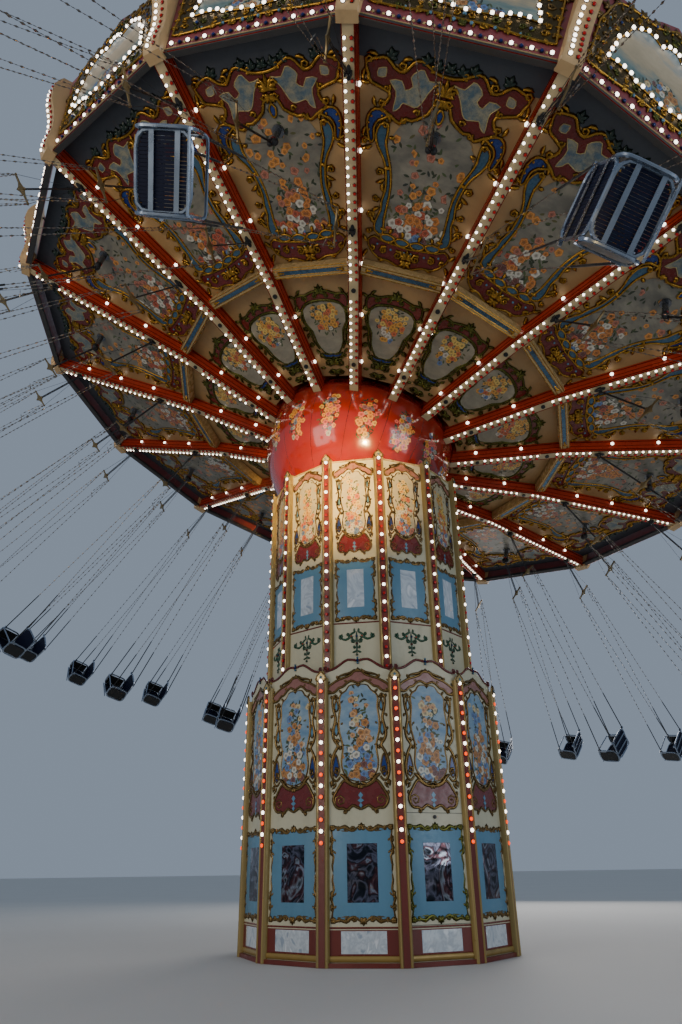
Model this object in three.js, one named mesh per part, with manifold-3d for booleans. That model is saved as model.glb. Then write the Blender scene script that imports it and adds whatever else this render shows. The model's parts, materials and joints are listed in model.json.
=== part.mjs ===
// Chair swing ride: a twelve-sided tower in two storeys, the upper one telescoping out of the lower,
// carries a tilting and turning crown of sixteen ribs from which forty-eight chairs hang.
// Millimetres, +Z up, the origin on the ground at the middle of the tower. At rest the ride is in
// full flight: the crown raised and leaning, the chairs flown out.
import * as THREE from "three";
import { mergeVertices } from "three/addons/utils/BufferGeometryUtils.js";
import Module from "manifold-3d";

const wasm = await Module();
wasm.setup();

const RAD = Math.PI / 180;
const SEAT_GAP = 0.3; // between pieces that rest on each other
const UP = new THREE.Vector3(0, 0, 1);

// Tower: radii are to the corners of the panels.
const TOWER_SIDES = 12;
const LOWER_R = 1800;
const LOWER_PHASE = -5.4 * RAD;
const LOWER_TOP = 3150;
const LOWER_POST_TOP = 3231;
const LID_R = 1650; // the opening that the upper tower slides through
const LID_THICK = 40;
const UPPER_R = 1520;
const UPPER_PHASE = -6.8 * RAD;
const UPPER_FOOT = 2900;
const UPPER_TOP = 6655;
const UPPER_POST_TOP = 6675;
const PANEL_THICK = 30;
const POST_WIDE = 150;
const POST_DEEP = 58;
const TIE_DEEP = 48; // rings that tie the posts at their feet
const KICK_TALL = 120;
const FLOOR_THICK = 100;

// The scalloped top edge of one lower panel: half its outline, across and up.
const CREST = [[440, -60], [430, 150], [330, 190], [200, 260], [90, 310], [0, 330]];

// Mast: a square tube in the base and a square column that slides in it.
const TUBE_OUT = 720;
const TUBE_IN = 640;
const TUBE_TOP = 3140;
const COLLAR_TALL = 240;
const SLIDE_GAP = 0.4;
const COLUMN = 600;
const COLUMN_FOOT = 2830;
const DECK_Z = 5900; // the deck stays below the sweep of the tilting drum
const DECK_THICK = 80;

// Tilt head.
const PIVOT_Z = 7896;
const LEAN = 15.2 * RAD;
const LEAN_DIR = 27.9 * RAD; // the low side, from +X towards +Y
const HEAD = 480;
const CHEEK_THICK = 100;
const CHEEK_WIDE = 500;
const CHEEK_OVER = 150; // above the pivot
const TRUNNION_R = 60;
const SLEW_R = 620;
const SLEW_Z = 300;
const SLEW_THICK = 60;

// Crown: heights are over the pivot, along the crown's own axis.
const RIBS = 16;
const SECTOR = (2 * Math.PI) / RIBS;
const RIB_PHASE = -2.9 * RAD; // the front rib, from -Y towards +X
const RIB_WIDE = 160;
const RIB_DEEP = 230;
const RIB_IN = 1603;
const RIB_BEND = 3412;
const RIB_OUT = 6420;
const RIB_LINE = [[1615, -290], [RIB_BEND, 234], [6500, 842]]; // underside: radius, height
const HUB_R = 1300;
const HUB_THICK = 40;
const HUB_TOP = 420;
const HUB_RISE = 250; // top of the ribs inside the ceiling's edge
const CEILING_IN = 1690;
const CEILING_THICK = 25;
const CROSSBAR_WIDE = 170;
const CROSSBAR_UP = 60; // above the ribs' underside
const CROSSBAR_SUNK = 15; // below the ribs' top
const DRUM_TOP = -40;
const DRUM_WALL = 20;
const CORNICE_FOOT = [6500, 842];
const CORNICE_TOP = [6850, 2250];
const CORNICE_THICK = 40;
const PILASTER_WIDE = 260;

// Swings: heights are below the hinge pin, along the hanger.
// A row's chairs hang at one height when the crown is level; out is their flight from the plumb line.
const SWING_ROWS = [
  { name: "outer", on: 0, r: 5930, out: 54.5 * RAD, raised: 0 },
  { name: "middle", on: 0.5, r: 5230, out: 53.5 * RAD, raised: 137 },
  { name: "inner", on: 0, r: 4060, out: 46 * RAD, raised: 368 },
];
// The leaning crown draws the whole flight sideways: extra swing out and along, by the X and Y of the radius.
const OUT_DRIFT = [-2 * RAD, -2 * RAD];
const ALONG_DRIFT = [-2 * RAD, 11.5 * RAD];
const PIN_DROP = 45; // pin below the ribs' underside
const PIN_R = 10;
const EYE = 44;
const LUG_THICK = 14;
const LUG_WIDE = 52;
const LUG_ABOVE = 60;
const LUG_BELOW = 26;
const FORK_CLEAR = 12; // over the eye, for its corners to turn
const STEM = 90;
const ROD = 28;
const ROD_TOP = -18; // inside the eye, clear of its bore
const SPREADER_Z = -870;
const SPREADER_HALF = 235;
const CHAIN = 20;
const CHAIR_HALF = 270; // to the middle of the side frames
const TUBE = 34;
const SEAT_Z = -5800; // the seat's middle in the outer row
const SEAT_THICK = 30;
const FRONT_Y = 218;
const SEAT_REAR_Y = -190;
const BACK_TOP_Y = -255;
const BACK_TOP_Z = -5340;
const ARM_Z = -5565;
const ARM_REAR_Y = -215;
const LEG_FOOT_Z = -5850;
const SPREADER_RISE = 60; // of its peak over its chain ends

const polar = (a, r, z = 0) => new THREE.Vector3(r * Math.sin(a), -r * Math.cos(a), z);

function ribZ(r) {
  const [a, b, c] = RIB_LINE;
  const [p, q] = r < b[0] ? [a, b] : [b, c];
  return p[1] + ((r - p[0]) * (q[1] - p[1])) / (q[0] - p[0]);
}

const ribTop = (r) => ribZ(r) + RIB_DEEP;

// A closed three.js geometry as a manifold, without the flat triangles that poles leave.
function solid(geometry, matrix = new THREE.Matrix4()) {
  const source = geometry.index ? geometry.toNonIndexed() : geometry;
  const bare = new THREE.BufferGeometry();
  bare.setAttribute("position", source.getAttribute("position").clone());
  const merged = mergeVertices(bare.applyMatrix4(matrix), 1e-3);
  const triangles = [];
  for (let i = 0; i < merged.index.count; i += 3) {
    const [a, b, c] = [0, 1, 2].map((j) => merged.index.getX(i + j));
    if (a !== b && b !== c && c !== a) triangles.push(a, b, c);
  }
  return new wasm.Manifold(
    new wasm.Mesh({
      numProp: 3,
      vertProperties: merged.attributes.position.array,
      triVerts: new Uint32Array(triangles),
    }),
  );
}

function geometryOf(manifold) {
  const m = manifold.getMesh();
  const positions = new Float32Array(m.numVert * 3);
  for (let i = 0; i < m.numVert; i++)
    positions.set(m.vertProperties.subarray(i * m.numProp, i * m.numProp + 3), i * 3);
  return new THREE.BufferGeometry()
    .setAttribute("position", new THREE.BufferAttribute(positions, 3))
    .setIndex(new THREE.BufferAttribute(new Uint32Array(m.triVerts), 1));
}

const joined = (parts) => parts.reduce((sum, part) => sum.add(part));

const place = (x, y, z, turn = 0) => new THREE.Matrix4().makeRotationZ(turn).setPosition(x, y, z);

const block = (sx, sy, sz, matrix) => solid(new THREE.BoxGeometry(sx, sy, sz), matrix);

function outline(points) {
  return new THREE.Shape(points.map(([x, y]) => new THREE.Vector2(x, y)));
}

function slab(shape, thick, matrix) {
  const g = new THREE.ExtrudeGeometry(shape, { depth: thick, bevelEnabled: false });
  return solid(g.translate(0, 0, -thick / 2), matrix);
}

// A slab standing on the radius at azimuth a, from its outline in (radius, height).
function radialSlab(points, wide, a) {
  const across = polar(a, 1).cross(UP);
  return slab(outline(points), wide, new THREE.Matrix4().makeBasis(polar(a, 1), UP, across));
}

// A slab lying in a face that leans outwards, its outline in (across, up the face).
function facingSlab(points, thick, a, r, z, lean) {
  const up = polar(a, Math.sin(lean), Math.cos(lean));
  const across = UP.clone().cross(polar(a, 1));
  const basis = new THREE.Matrix4().makeBasis(across, up, across.clone().cross(up));
  return slab(outline(points), thick, basis.setPosition(polar(a, r, z)));
}

// A ring with straight sides and its corners at the phase, from its outline in (radius, height).
function ring(points, sides, phase) {
  const closed = [...points, points[0]].map(([r, z]) => new THREE.Vector2(r, z));
  const g = new THREE.LatheGeometry(closed, sides).rotateX(Math.PI / 2);
  return solid(g, new THREE.Matrix4().makeRotationZ(phase));
}

const towerAngles = (phase) =>
  Array.from({ length: TOWER_SIDES }, (_, i) => phase + (i * 2 * Math.PI) / TOWER_SIDES);

const HALF_SIDE = Math.PI / TOWER_SIDES;
const towerRing = (points, phase) => ring(points, TOWER_SIDES, phase + HALF_SIDE);

// Base and lower tower.
function baseFrame() {
  const corners = towerAngles(LOWER_PHASE + HALF_SIDE).map((a) => polar(a, LOWER_R - PANEL_THICK - SEAT_GAP));
  const floor = slab(outline(corners.map((c) => [c.x, c.y])), FLOOR_THICK, place(0, 0, FLOOR_THICK / 2));
  const upright = (wide, foot, top) =>
    block(wide, wide, top - foot, place(0, 0, (foot + top) / 2, LEAN_DIR));
  const tube = upright(TUBE_OUT, FLOOR_THICK / 2, TUBE_TOP);
  const well = upright(TUBE_IN, FLOOR_THICK, TUBE_TOP - COLLAR_TALL);
  const mouth = upright(COLUMN + 2 * SLIDE_GAP, TUBE_TOP - 2 * COLLAR_TALL, TUBE_TOP + COLLAR_TALL);
  return floor.add(tube).subtract(well).subtract(mouth);
}

function mirrored(half) {
  const other = half.filter(([x]) => x !== 0).map(([x, y]) => [-x, y]).reverse();
  return [...half, ...other];
}

function lowerTowerPanels() {
  const inner = LOWER_R - PANEL_THICK;
  const shell = towerRing([
    [inner, 0], [LOWER_R, 0], [LOWER_R, LOWER_TOP], [LID_R, LOWER_TOP],
    [LID_R, LOWER_TOP - LID_THICK], [inner, LOWER_TOP - LID_THICK],
  ], LOWER_PHASE);
  const face = LOWER_R * Math.cos(HALF_SIDE) - PANEL_THICK / 2;
  const crests = towerAngles(LOWER_PHASE).map((a) =>
    facingSlab(mirrored(CREST), PANEL_THICK, a, face, LOWER_TOP, 0));
  return joined([shell, ...crests]);
}

// Posts stand on the corners, tied at the foot by a ring.
function towerPosts(radius, foot, top, phase, tie) {
  const r = radius + SEAT_GAP + POST_DEEP / 2;
  const posts = towerAngles(phase + HALF_SIDE).map((a) => {
    const at = polar(a, r);
    return block(POST_DEEP, POST_WIDE, top - foot, place(at.x, at.y, (foot + top) / 2, a - Math.PI / 2));
  });
  return joined([towerRing(tie, phase), ...posts]);
}

function lowerTowerPosts() {
  const inner = LOWER_R + 2 * SEAT_GAP;
  const outer = LOWER_R + TIE_DEEP;
  const kick = [[inner, 0], [outer, 0], [outer, KICK_TALL], [inner, KICK_TALL]];
  return towerPosts(LOWER_R, 0, LOWER_POST_TOP, LOWER_PHASE, kick);
}

// Upper tower and what lifts it.
function upperTowerPosts() {
  const inner = UPPER_R + 2 * SEAT_GAP;
  const outer = UPPER_R + TIE_DEEP;
  const ledge = UPPER_R - PANEL_THICK;
  const z = UPPER_FOOT - SEAT_GAP;
  const tie = [[ledge, z - 30], [outer, z - 30], [outer, z + 60], [inner, z + 60], [inner, z], [ledge, z]];
  return towerPosts(UPPER_R, UPPER_FOOT - 30, UPPER_POST_TOP, UPPER_PHASE, tie);
}

function upperTowerPanels() {
  const inner = UPPER_R - PANEL_THICK;
  const profile = [[inner, UPPER_FOOT], [UPPER_R, UPPER_FOOT], [UPPER_R, UPPER_TOP], [inner, UPPER_TOP]];
  return towerRing(profile, UPPER_PHASE);
}

const hingeDirection = new THREE.Vector3(-Math.sin(LEAN_DIR), Math.cos(LEAN_DIR), 0);

function cylinderAlong(direction, radius, long, sides, centre) {
  const turn = new THREE.Quaternion().setFromUnitVectors(new THREE.Vector3(0, 1, 0), direction);
  const matrix = new THREE.Matrix4().compose(centre, turn, new THREE.Vector3(1, 1, 1));
  return solid(new THREE.CylinderGeometry(radius, radius, long, sides), matrix);
}

function liftMast() {
  const edge = UPPER_R - PANEL_THICK - 2 * SEAT_GAP;
  const deckTop = DECK_Z + DECK_THICK;
  const deck = towerRing([[0, DECK_Z], [edge, DECK_Z], [edge, deckTop], [0, deckTop]], UPPER_PHASE);
  const tall = DECK_Z + DECK_THICK / 2 - COLUMN_FOOT;
  const column = block(COLUMN, COLUMN, tall, place(0, 0, COLUMN_FOOT + tall / 2, LEAN_DIR));
  const cheekTall = PIVOT_Z + CHEEK_OVER - DECK_Z - DECK_THICK / 2;
  const hole = cylinderAlong(hingeDirection, TRUNNION_R + 3, 3 * HEAD, 12, new THREE.Vector3(0, 0, PIVOT_Z));
  const cheeks = [-1, 1].map((side) => {
    const off = side * (HEAD / 2 + SEAT_GAP + CHEEK_THICK / 2);
    const at = hingeDirection.clone().multiplyScalar(off);
    const z = PIVOT_Z + CHEEK_OVER - cheekTall / 2;
    return block(CHEEK_WIDE, CHEEK_THICK, cheekTall, place(at.x, at.y, z, LEAN_DIR)).subtract(hole);
  });
  return joined([deck, column, ...cheeks]);
}

function tiltHead() {
  const neckTall = SLEW_Z + 10;
  const neck = block(HEAD - 60, HEAD, neckTall + 200, place(0, 0, (neckTall - 200) / 2, LEAN_DIR));
  const trunnion = cylinderAlong(hingeDirection, TRUNNION_R, HEAD + 2 * CHEEK_THICK, 12, new THREE.Vector3());
  const top = SLEW_Z + SLEW_THICK;
  return joined([neck, trunnion, ring([[0, SLEW_Z], [SLEW_R, SLEW_Z], [SLEW_R, top], [0, top]], 16, 0)]);
}

// Crown.
function hubDrum() {
  const outer = [[1000, -1550], [1250, -1350], [1450, -1050], [1580, -700], [1600, -450]];
  const inner = outer.map(([r, z]) => [r - DRUM_WALL, z + DRUM_WALL / 2]).reverse();
  const top = DRUM_TOP - SEAT_GAP;
  const under = top - DRUM_WALL;
  const rim = [[1600, top], [HUB_R, top], [HUB_R, under], [1600 - DRUM_WALL, under]];
  return ring([...outer, ...rim, ...inner], 24, RIB_PHASE);
}

const ribAngles = Array.from({ length: RIBS }, (_, k) => RIB_PHASE + k * SECTOR);

// Where a swing hangs, in the crown's own frame, and how it flies.
const crownTurn = new THREE.Quaternion().setFromUnitVectors(
  UP,
  new THREE.Vector3(
    Math.sin(LEAN) * Math.cos(LEAN_DIR),
    Math.sin(LEAN) * Math.sin(LEAN_DIR),
    Math.cos(LEAN),
  ),
);

function swingAt(row, k) {
  const a = RIB_PHASE + (k + row.on) * SECTOR;
  const out = polar(a, 1);
  const level = out.clone().applyQuaternion(crownTurn).setZ(0).normalize();
  const outward = row.out + OUT_DRIFT[0] * level.x + OUT_DRIFT[1] * level.y;
  const along = ALONG_DRIFT[0] * level.x + ALONG_DRIFT[1] * level.y;
  const sideways = new THREE.Vector3(-level.y, level.x, 0).multiplyScalar(Math.sin(along));
  const flown = level.multiplyScalar(Math.sin(outward)).setZ(-Math.cos(outward));
  flown.multiplyScalar(Math.cos(along)).add(sideways).applyQuaternion(crownTurn.clone().invert());
  const axis = new THREE.Vector3(0, 0, -1).cross(flown).normalize();
  return {
    pin: polar(a, row.r, ribZ(row.r) - PIN_DROP),
    azimuth: a,
    axis,
    angle: Math.acos(-flown.z),
  };
}

// A fork with the hinge pin across it, hung below a rib or a stem.
function fork(swing) {
  const inner = EYE / 2 + SEAT_GAP;
  const outer = inner + LUG_THICK;
  const roof = EYE / 2 + FORK_CLEAR;
  const shape = [
    [-outer, -LUG_BELOW], [-inner, -LUG_BELOW], [-inner, roof], [inner, roof], [inner, -LUG_BELOW],
    [outer, -LUG_BELOW], [outer, LUG_ABOVE], [-outer, LUG_ABOVE],
  ];
  const across = UP.clone().cross(swing.axis).negate();
  const basis = new THREE.Matrix4().makeBasis(swing.axis, UP, across).setPosition(swing.pin);
  const pin = cylinderAlong(swing.axis, PIN_R, EYE + LUG_THICK, 6, swing.pin);
  return slab(outline(shape), LUG_WIDE, basis).add(pin);
}

function crownRibs() {
  const hub = ring([
    [0, SLEW_Z + SLEW_THICK + SEAT_GAP], [HUB_R - HUB_THICK, SLEW_Z + SLEW_THICK + SEAT_GAP],
    [HUB_R - HUB_THICK, DRUM_TOP], [HUB_R, DRUM_TOP], [HUB_R, HUB_TOP], [0, HUB_TOP],
  ], RIBS, RIB_PHASE);
  const side = [
    [RIB_IN, ribZ(RIB_IN)], [RIB_BEND, ribZ(RIB_BEND)], [RIB_OUT, ribZ(RIB_OUT)],
    [RIB_OUT, ribTop(RIB_OUT)], [RIB_BEND, ribTop(RIB_BEND)],
    [CEILING_IN - 30, ribTop(CEILING_IN - 30)], [CEILING_IN - 30, HUB_RISE],
    [HUB_R - HUB_THICK / 2, HUB_RISE], [HUB_R - HUB_THICK / 2, DRUM_TOP], [RIB_IN, DRUM_TOP],
  ];
  const ribs = ribAngles.map((a) => radialSlab(side, RIB_WIDE, a));
  const outer = RIB_BEND + CROSSBAR_WIDE;
  const crossbars = ring([
    [RIB_BEND, ribZ(RIB_BEND) + CROSSBAR_UP], [outer, ribZ(outer) + CROSSBAR_UP],
    [outer, ribTop(outer) - CROSSBAR_SUNK], [RIB_BEND, ribTop(RIB_BEND) - CROSSBAR_SUNK],
  ], RIBS, RIB_PHASE);
  const hangers = SWING_ROWS.filter((row) => row.on === 0)
    .flatMap((row) => ribAngles.map((_, k) => fork(swingAt(row, k))));
  return joined([hub, ...ribs, crossbars, ...hangers]);
}

function crownCeiling() {
  const line = [CEILING_IN, RIB_BEND, RIB_OUT];
  const under = line.map((r) => [r, ribTop(r) + SEAT_GAP]);
  const over = line.map((r) => [r, ribTop(r) + CEILING_THICK]).reverse();
  const sheet = ring([...under, ...over], RIBS, RIB_PHASE);
  const row = SWING_ROWS.find((r) => r.on !== 0);
  const stems = ribAngles.map((_, k) => {
    const swing = swingAt(row, k);
    const foot = swing.pin.z + LUG_ABOVE - 20;
    const top = ribTop(row.r / Math.cos(SECTOR / 2)) + CEILING_THICK / 2;
    const stem = block(STEM, STEM, top - foot,
      place(swing.pin.x, swing.pin.y, (top + foot) / 2, swing.azimuth));
    return stem.add(fork(swing));
  });
  return joined([sheet, ...stems]);
}

function crownRoof() {
  const under = [[0, 2300], [900, 2270], [6400, 1500]];
  const over = under.map(([r, z]) => [r, z + CEILING_THICK]).reverse();
  const post = ring([[0, HUB_TOP + SEAT_GAP], [120, HUB_TOP + SEAT_GAP], [120, 2310], [0, 2310]], 8, 0);
  return ring([...under, ...over], RIBS, RIB_PHASE).add(post);
}

function crownCornice() {
  const [r0, z0] = CORNICE_FOOT;
  const [r1, z1] = CORNICE_TOP;
  const band = ring([[r0 - CORNICE_THICK, z0], [r0, z0], [r1, z1], [r1 - CORNICE_THICK, z1]], RIBS, RIB_PHASE);
  const flat = Math.cos(SECTOR / 2);
  const lean = Math.atan2((r1 - r0) * flat, z1 - z0);
  const crest = mirrored([[1000, -40], [900, 90], [430, 130], [260, 250], [0, 380]]);
  const crests = ribAngles.map((a) => facingSlab(crest, CORNICE_THICK - 10, a + SECTOR / 2,
    (r1 - CORNICE_THICK / 2) * flat, z1, lean));
  const back = RIB_OUT + SEAT_GAP;
  const profile = [
    [back, 800], [6560, 800], [6650, 1020], [6690, 1280], [6900, 1700], [6985, 2000],
    [6940, 2210], [6800, 2262], [6480, 1130], [back, 1110],
  ];
  const pilasters = ribAngles.map((a) => radialSlab(profile, PILASTER_WIDE, a));
  return joined([band, ...crests, ...pilasters]);
}

// Swing: hanger, spreader, four chains and the chair, hanging along -Z from its pin.
// X points out from the ride and Y the way the rider faces.
function prism(from, to, size) {
  const a = new THREE.Vector3(...from);
  const b = new THREE.Vector3(...to);
  return cylinderAlong(b.clone().sub(a).normalize(), size / 2, a.distanceTo(b), 3, a.add(b).multiplyScalar(0.5));
}

function swingBody(row) {
  const half = ROD / 2;
  const shoulder = SPREADER_Z + SPREADER_RISE;
  const hanger = slab(outline(mirrored([
    [SPREADER_HALF, SPREADER_Z - half], [SPREADER_HALF, SPREADER_Z + half], [half, shoulder], [half, ROD_TOP],
  ])), ROD, new THREE.Matrix4().makeRotationX(Math.PI / 2));
  const sideways = new THREE.Matrix4().makeBasis(new THREE.Vector3(0, 1, 0), UP, new THREE.Vector3(1, 0, 0));
  const under = SEAT_Z - SEAT_THICK / 2;
  const over = SEAT_Z + SEAT_THICK / 2;
  const seat = slab(outline([
    [SEAT_REAR_Y, under], [FRONT_Y, under], [FRONT_Y, over], [SEAT_REAR_Y + SEAT_THICK, over],
    [BACK_TOP_Y + SEAT_THICK, BACK_TOP_Z], [BACK_TOP_Y, BACK_TOP_Z],
  ]), 2 * CHAIR_HALF, sideways);
  const legRear = FRONT_Y + 4 - TUBE;
  const arm = [
    [legRear, LEG_FOOT_Z], [FRONT_Y + 4, LEG_FOOT_Z], [FRONT_Y + 4, ARM_Z + TUBE / 2],
    [ARM_REAR_Y, ARM_Z + TUBE / 2], [ARM_REAR_Y + 5, ARM_Z - TUBE / 2], [legRear, ARM_Z - TUBE / 2],
  ];
  const parts = [hanger, seat.translate([0, 0, row.raised])];
  for (const side of [-1, 1]) {
    const x = side * CHAIR_HALF;
    const top = [side * (SPREADER_HALF - half), 0, SPREADER_Z];
    parts.push(slab(outline(arm), TUBE, sideways.clone().setPosition(x, 0, row.raised)));
    parts.push(prism(top, [x, FRONT_Y - 60, ARM_Z + 4 + row.raised], CHAIN));
    parts.push(prism(top, [side * (CHAIR_HALF - 12), BACK_TOP_Y + 17, BACK_TOP_Z - 12 + row.raised], CHAIN));
  }
  return joined(parts);
}

function swingGeometry(swing, body) {
  const hole = PIN_R + SLIDE_GAP;
  const turn = Math.atan2(swing.axis.y, swing.axis.x) - swing.azimuth + Math.PI / 2;
  const direction = new THREE.Vector3(Math.cos(turn), Math.sin(turn), 0);
  const eye = block(EYE, EYE, EYE, place(0, 0, 0, turn));
  const bore = cylinderAlong(direction, hole / Math.cos(Math.PI / 6), 3 * EYE, 6, new THREE.Vector3());
  return geometryOf(body.add(eye).subtract(bore));
}

// Colours and finishes.
const paint = (color, roughness = 0.4, metalness = 0) =>
  new THREE.MeshStandardMaterial({ color, roughness, metalness });

function piece(name, manifold, material) {
  const mesh = new THREE.Mesh(manifold.isBufferGeometry ? manifold : geometryOf(manifold), material);
  mesh.name = name;
  return mesh;
}

const ride = new THREE.Group();
ride.add(
  piece("base_frame", baseFrame(), paint(0x55585c, 0.6, 0.6)),
  piece("lower_tower_panels", lowerTowerPanels(), paint(0xd8d0b4)),
  piece("lower_tower_posts", lowerTowerPosts(), paint(0x7a2a1c)),
  piece("lift_mast", liftMast(), paint(0x6a6d70, 0.5, 0.7)),
  piece("upper_tower_panels", upperTowerPanels(), paint(0xe6dcb8)),
  piece("upper_tower_posts", upperTowerPosts(), paint(0xa8842e, 0.35, 0.6)),
);

const crown = new THREE.Group();
crown.position.set(0, 0, PIVOT_Z);
crown.quaternion.copy(crownTurn);
crown.add(
  piece("tilt_head", tiltHead(), paint(0x6a6d70, 0.5, 0.7)),
  piece("hub_drum", hubDrum(), paint(0xd8301a, 0.15)),
  piece("crown_ribs", crownRibs(), paint(0xc8401e, 0.3)),
  piece("crown_ceiling", crownCeiling(), paint(0xd8cfae, 0.5)),
  piece("crown_roof", crownRoof(), paint(0xcfc8b4, 0.6)),
  piece("crown_cornice", crownCornice(), paint(0x7e2230, 0.4)),
);

for (const row of SWING_ROWS) {
  const body = swingBody(row);
  for (let k = 0; k < RIBS; k++) {
    const swing = swingAt(row, k);
    const number = String(k + 1).padStart(2, "0");
    const mesh = piece(`swing_${row.name}_${number}`, swingGeometry(swing, body), paint(0x9aa0a8, 0.3, 0.8));
    mesh.position.copy(swing.pin);
    mesh.quaternion
      .setFromAxisAngle(swing.axis, swing.angle)
      .multiply(new THREE.Quaternion().setFromAxisAngle(UP, swing.azimuth - Math.PI / 2));
    crown.add(mesh);
  }
}
ride.add(crown);

export default ride;
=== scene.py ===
"""Chair swing ride: a painted twelve-sided tower under a leaning crown, with 48 chairs flown out on chains.

Metres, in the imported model's frame. Carvings are drawn flat, x across, y up and z out of the face, then
repeated on every face. Each finish is a node tree on object coordinates, on a tint kept with the points, or
on a canvas map.
"""
import json
import math
import random

import bmesh
import bpy
import numpy as np
from mathutils import Matrix, Vector, noise


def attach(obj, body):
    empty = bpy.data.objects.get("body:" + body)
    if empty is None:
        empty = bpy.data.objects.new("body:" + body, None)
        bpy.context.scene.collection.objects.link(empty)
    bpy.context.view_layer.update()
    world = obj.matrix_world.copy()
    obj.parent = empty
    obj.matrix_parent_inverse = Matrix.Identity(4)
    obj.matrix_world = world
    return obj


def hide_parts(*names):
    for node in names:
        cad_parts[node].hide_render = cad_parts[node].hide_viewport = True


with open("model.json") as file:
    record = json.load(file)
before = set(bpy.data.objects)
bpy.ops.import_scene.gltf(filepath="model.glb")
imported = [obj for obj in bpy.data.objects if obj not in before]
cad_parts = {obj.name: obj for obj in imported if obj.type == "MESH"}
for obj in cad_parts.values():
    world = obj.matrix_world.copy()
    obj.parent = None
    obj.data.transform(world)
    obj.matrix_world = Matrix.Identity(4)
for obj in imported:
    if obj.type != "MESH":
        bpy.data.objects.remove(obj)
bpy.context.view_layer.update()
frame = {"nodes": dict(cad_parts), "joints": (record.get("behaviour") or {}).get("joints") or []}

JOINTS = {joint["name"]: joint for joint in frame["joints"]}
PIVOT = Vector(JOINTS["crown_tilt"]["pos_m"])
HINGE = Vector(JOINTS["crown_tilt"]["axis"])
AXLE = Vector(JOINTS["crown_spin"]["axis"]).normalized()
LEAN = math.acos(AXLE.z)
CROWN = Matrix.Translation(PIVOT) @ Matrix.Rotation(LEAN, 4, HINGE)
TURN = 2 * math.pi
CREASE = math.radians(38)
DETAIL = 2  # points of a curve for each point of its outline

# Tower
SIDES = 12
HALF_SIDE = math.pi / SIDES
LOWER_R, LOWER_PHASE, LOWER_TOP = 1.800, math.radians(-5.4), 3.150
UPPER_R, UPPER_PHASE, UPPER_FOOT, UPPER_TOP = 1.520, math.radians(-6.8), 2.870, 6.655
LOWER_FACE, UPPER_FACE = LOWER_R * math.cos(HALF_SIDE), UPPER_R * math.cos(HALF_SIDE)
UPPER_PANEL_FOOT = 2.900
PANEL_THICK, DADO_THICK, BOARD_THICK, MIRROR_THICK = 0.030, 0.005, 0.006, 0.003
LID_IN, LID_OUT, LID_THICK = 1.650, 1.762, 0.040
HATCH_SIDE = math.radians(28)
POST_WIDE, POST_DEEP = 0.150, 0.058
STRIP_HALF, STRIP_BACK, STRIP_FRONT = 0.0385, 0.040, 0.0445
TIE_IN, TIE_OUT = 0.020, 0.048
LOWER_POST_TOP, UPPER_POST_TOP = 3.231, 6.675
BULB_PITCH = 0.128
LOWEST_LAMP, LAMP_MARGIN = 1.25, 0.35

# On a face of the tower: half the width, foot and top
FACE_HALF = 0.392
DADO, DADO_MIRROR = (FACE_HALF, 0.120, 0.366), (0.260, 0.132, 0.356)
LOWER_BOARD, LOWER_MIRROR, LOWER_FRAME = (0.348, 0.470, 1.425), (0.180, 0.640, 1.260), (0.370, 0.440, 1.455)
UPPER_BOARD, UPPER_MIRROR, UPPER_FRAME = (0.266, 4.118, 4.982), (0.120, 4.280, 4.845), (0.285, 4.090, 5.010)
HATCH, HATCH_GAP = (0.400, 0.405, 1.590), 0.003

# Crown: radii to the corners, heights over the pivot along the crown's axis
RIBS = 16
SECTOR = TURN / RIBS
FLAT = math.cos(SECTOR / 2)
RIB_PHASE = math.radians(-2.9)
RIB_WIDE, RIB_DEEP = 0.160, 0.230
RIB_LINE = ((1.615, -0.290), (3.412, 0.234), (6.500, 0.842))
RIB_IN, RIB_BEND, RIB_OUT = 1.603, RIB_LINE[1][0], 6.420
PIN_SOCKETS, ROUND_SOCKETS = (4.06, 5.93), (2.05, 3.20)
CEILING_IN, CEILING_THICK, CEILING_SUNK = 1.690, 0.022, 0.024
CROSSBAR_OUT = 3.582
CORNICE_FOOT, CORNICE_TOP = (6.500, 0.842), (6.850, 2.250)
CORNICE_THICK, CORNICE_SUNK = 0.030, 0.034
PILASTER_WIDE = 0.260
ROOF_EDGE, ROOF_TOP = (6.360, 1.530), (0.920, 2.297)

# Swings: heights below the pin
SPREADER_Z, SPREADER_HALF = -0.870, 0.235
CHAIR_HALF = 0.270
SEAT_Z, ARM_Z, BACK_TOP_Z = -5.800, -5.565, -5.340
FRONT_Y, BACK_TOP_Y = 0.218, -0.240
FRONT_CHAIN_Y = FRONT_Y - 0.060
SLEEVE_LONG, SLEEVE_R, CHAIN_PITCH = 0.90, 0.0115, 0.066
TUBE_R, SEAT_CORNER, SIDE_CORNER = 0.0155, 0.115, 0.095
STRAP_HALF, WEAVE_RIBS = 0.019, 20


def polar(a, r, z=0.0):
    """A point at azimuth a, from -Y towards +X."""
    return Vector((r * math.sin(a), -r * math.cos(a), z))


def rib_z(r):
    """Height of the ribs' underside at a radius."""
    (r0, z0), (r1, z1), (r2, z2) = RIB_LINE
    return z0 + (r - r0) * (z1 - z0) / (r1 - r0) if r < r1 else z1 + (r - r1) * (z2 - z1) / (r2 - r1)


def frame_at(x, y, z, at):
    """The matrix with these axes at this point."""
    return Matrix.Translation(at) @ Matrix((x, y, z)).transposed().to_4x4()


def sideways(a):
    """The level direction across the radius at azimuth a."""
    return Vector((math.cos(a), math.sin(a), 0))


def tower_face(a, distance, z=0.0):
    """x across a face of the tower, y up and z out."""
    return frame_at(sideways(a), Vector((0, 0, 1)), polar(a, 1), polar(a, distance, z))


def faces_of(phase, distance, count=SIDES):
    return [tower_face(phase + i * TURN / count, distance) for i in range(count)]


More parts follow.
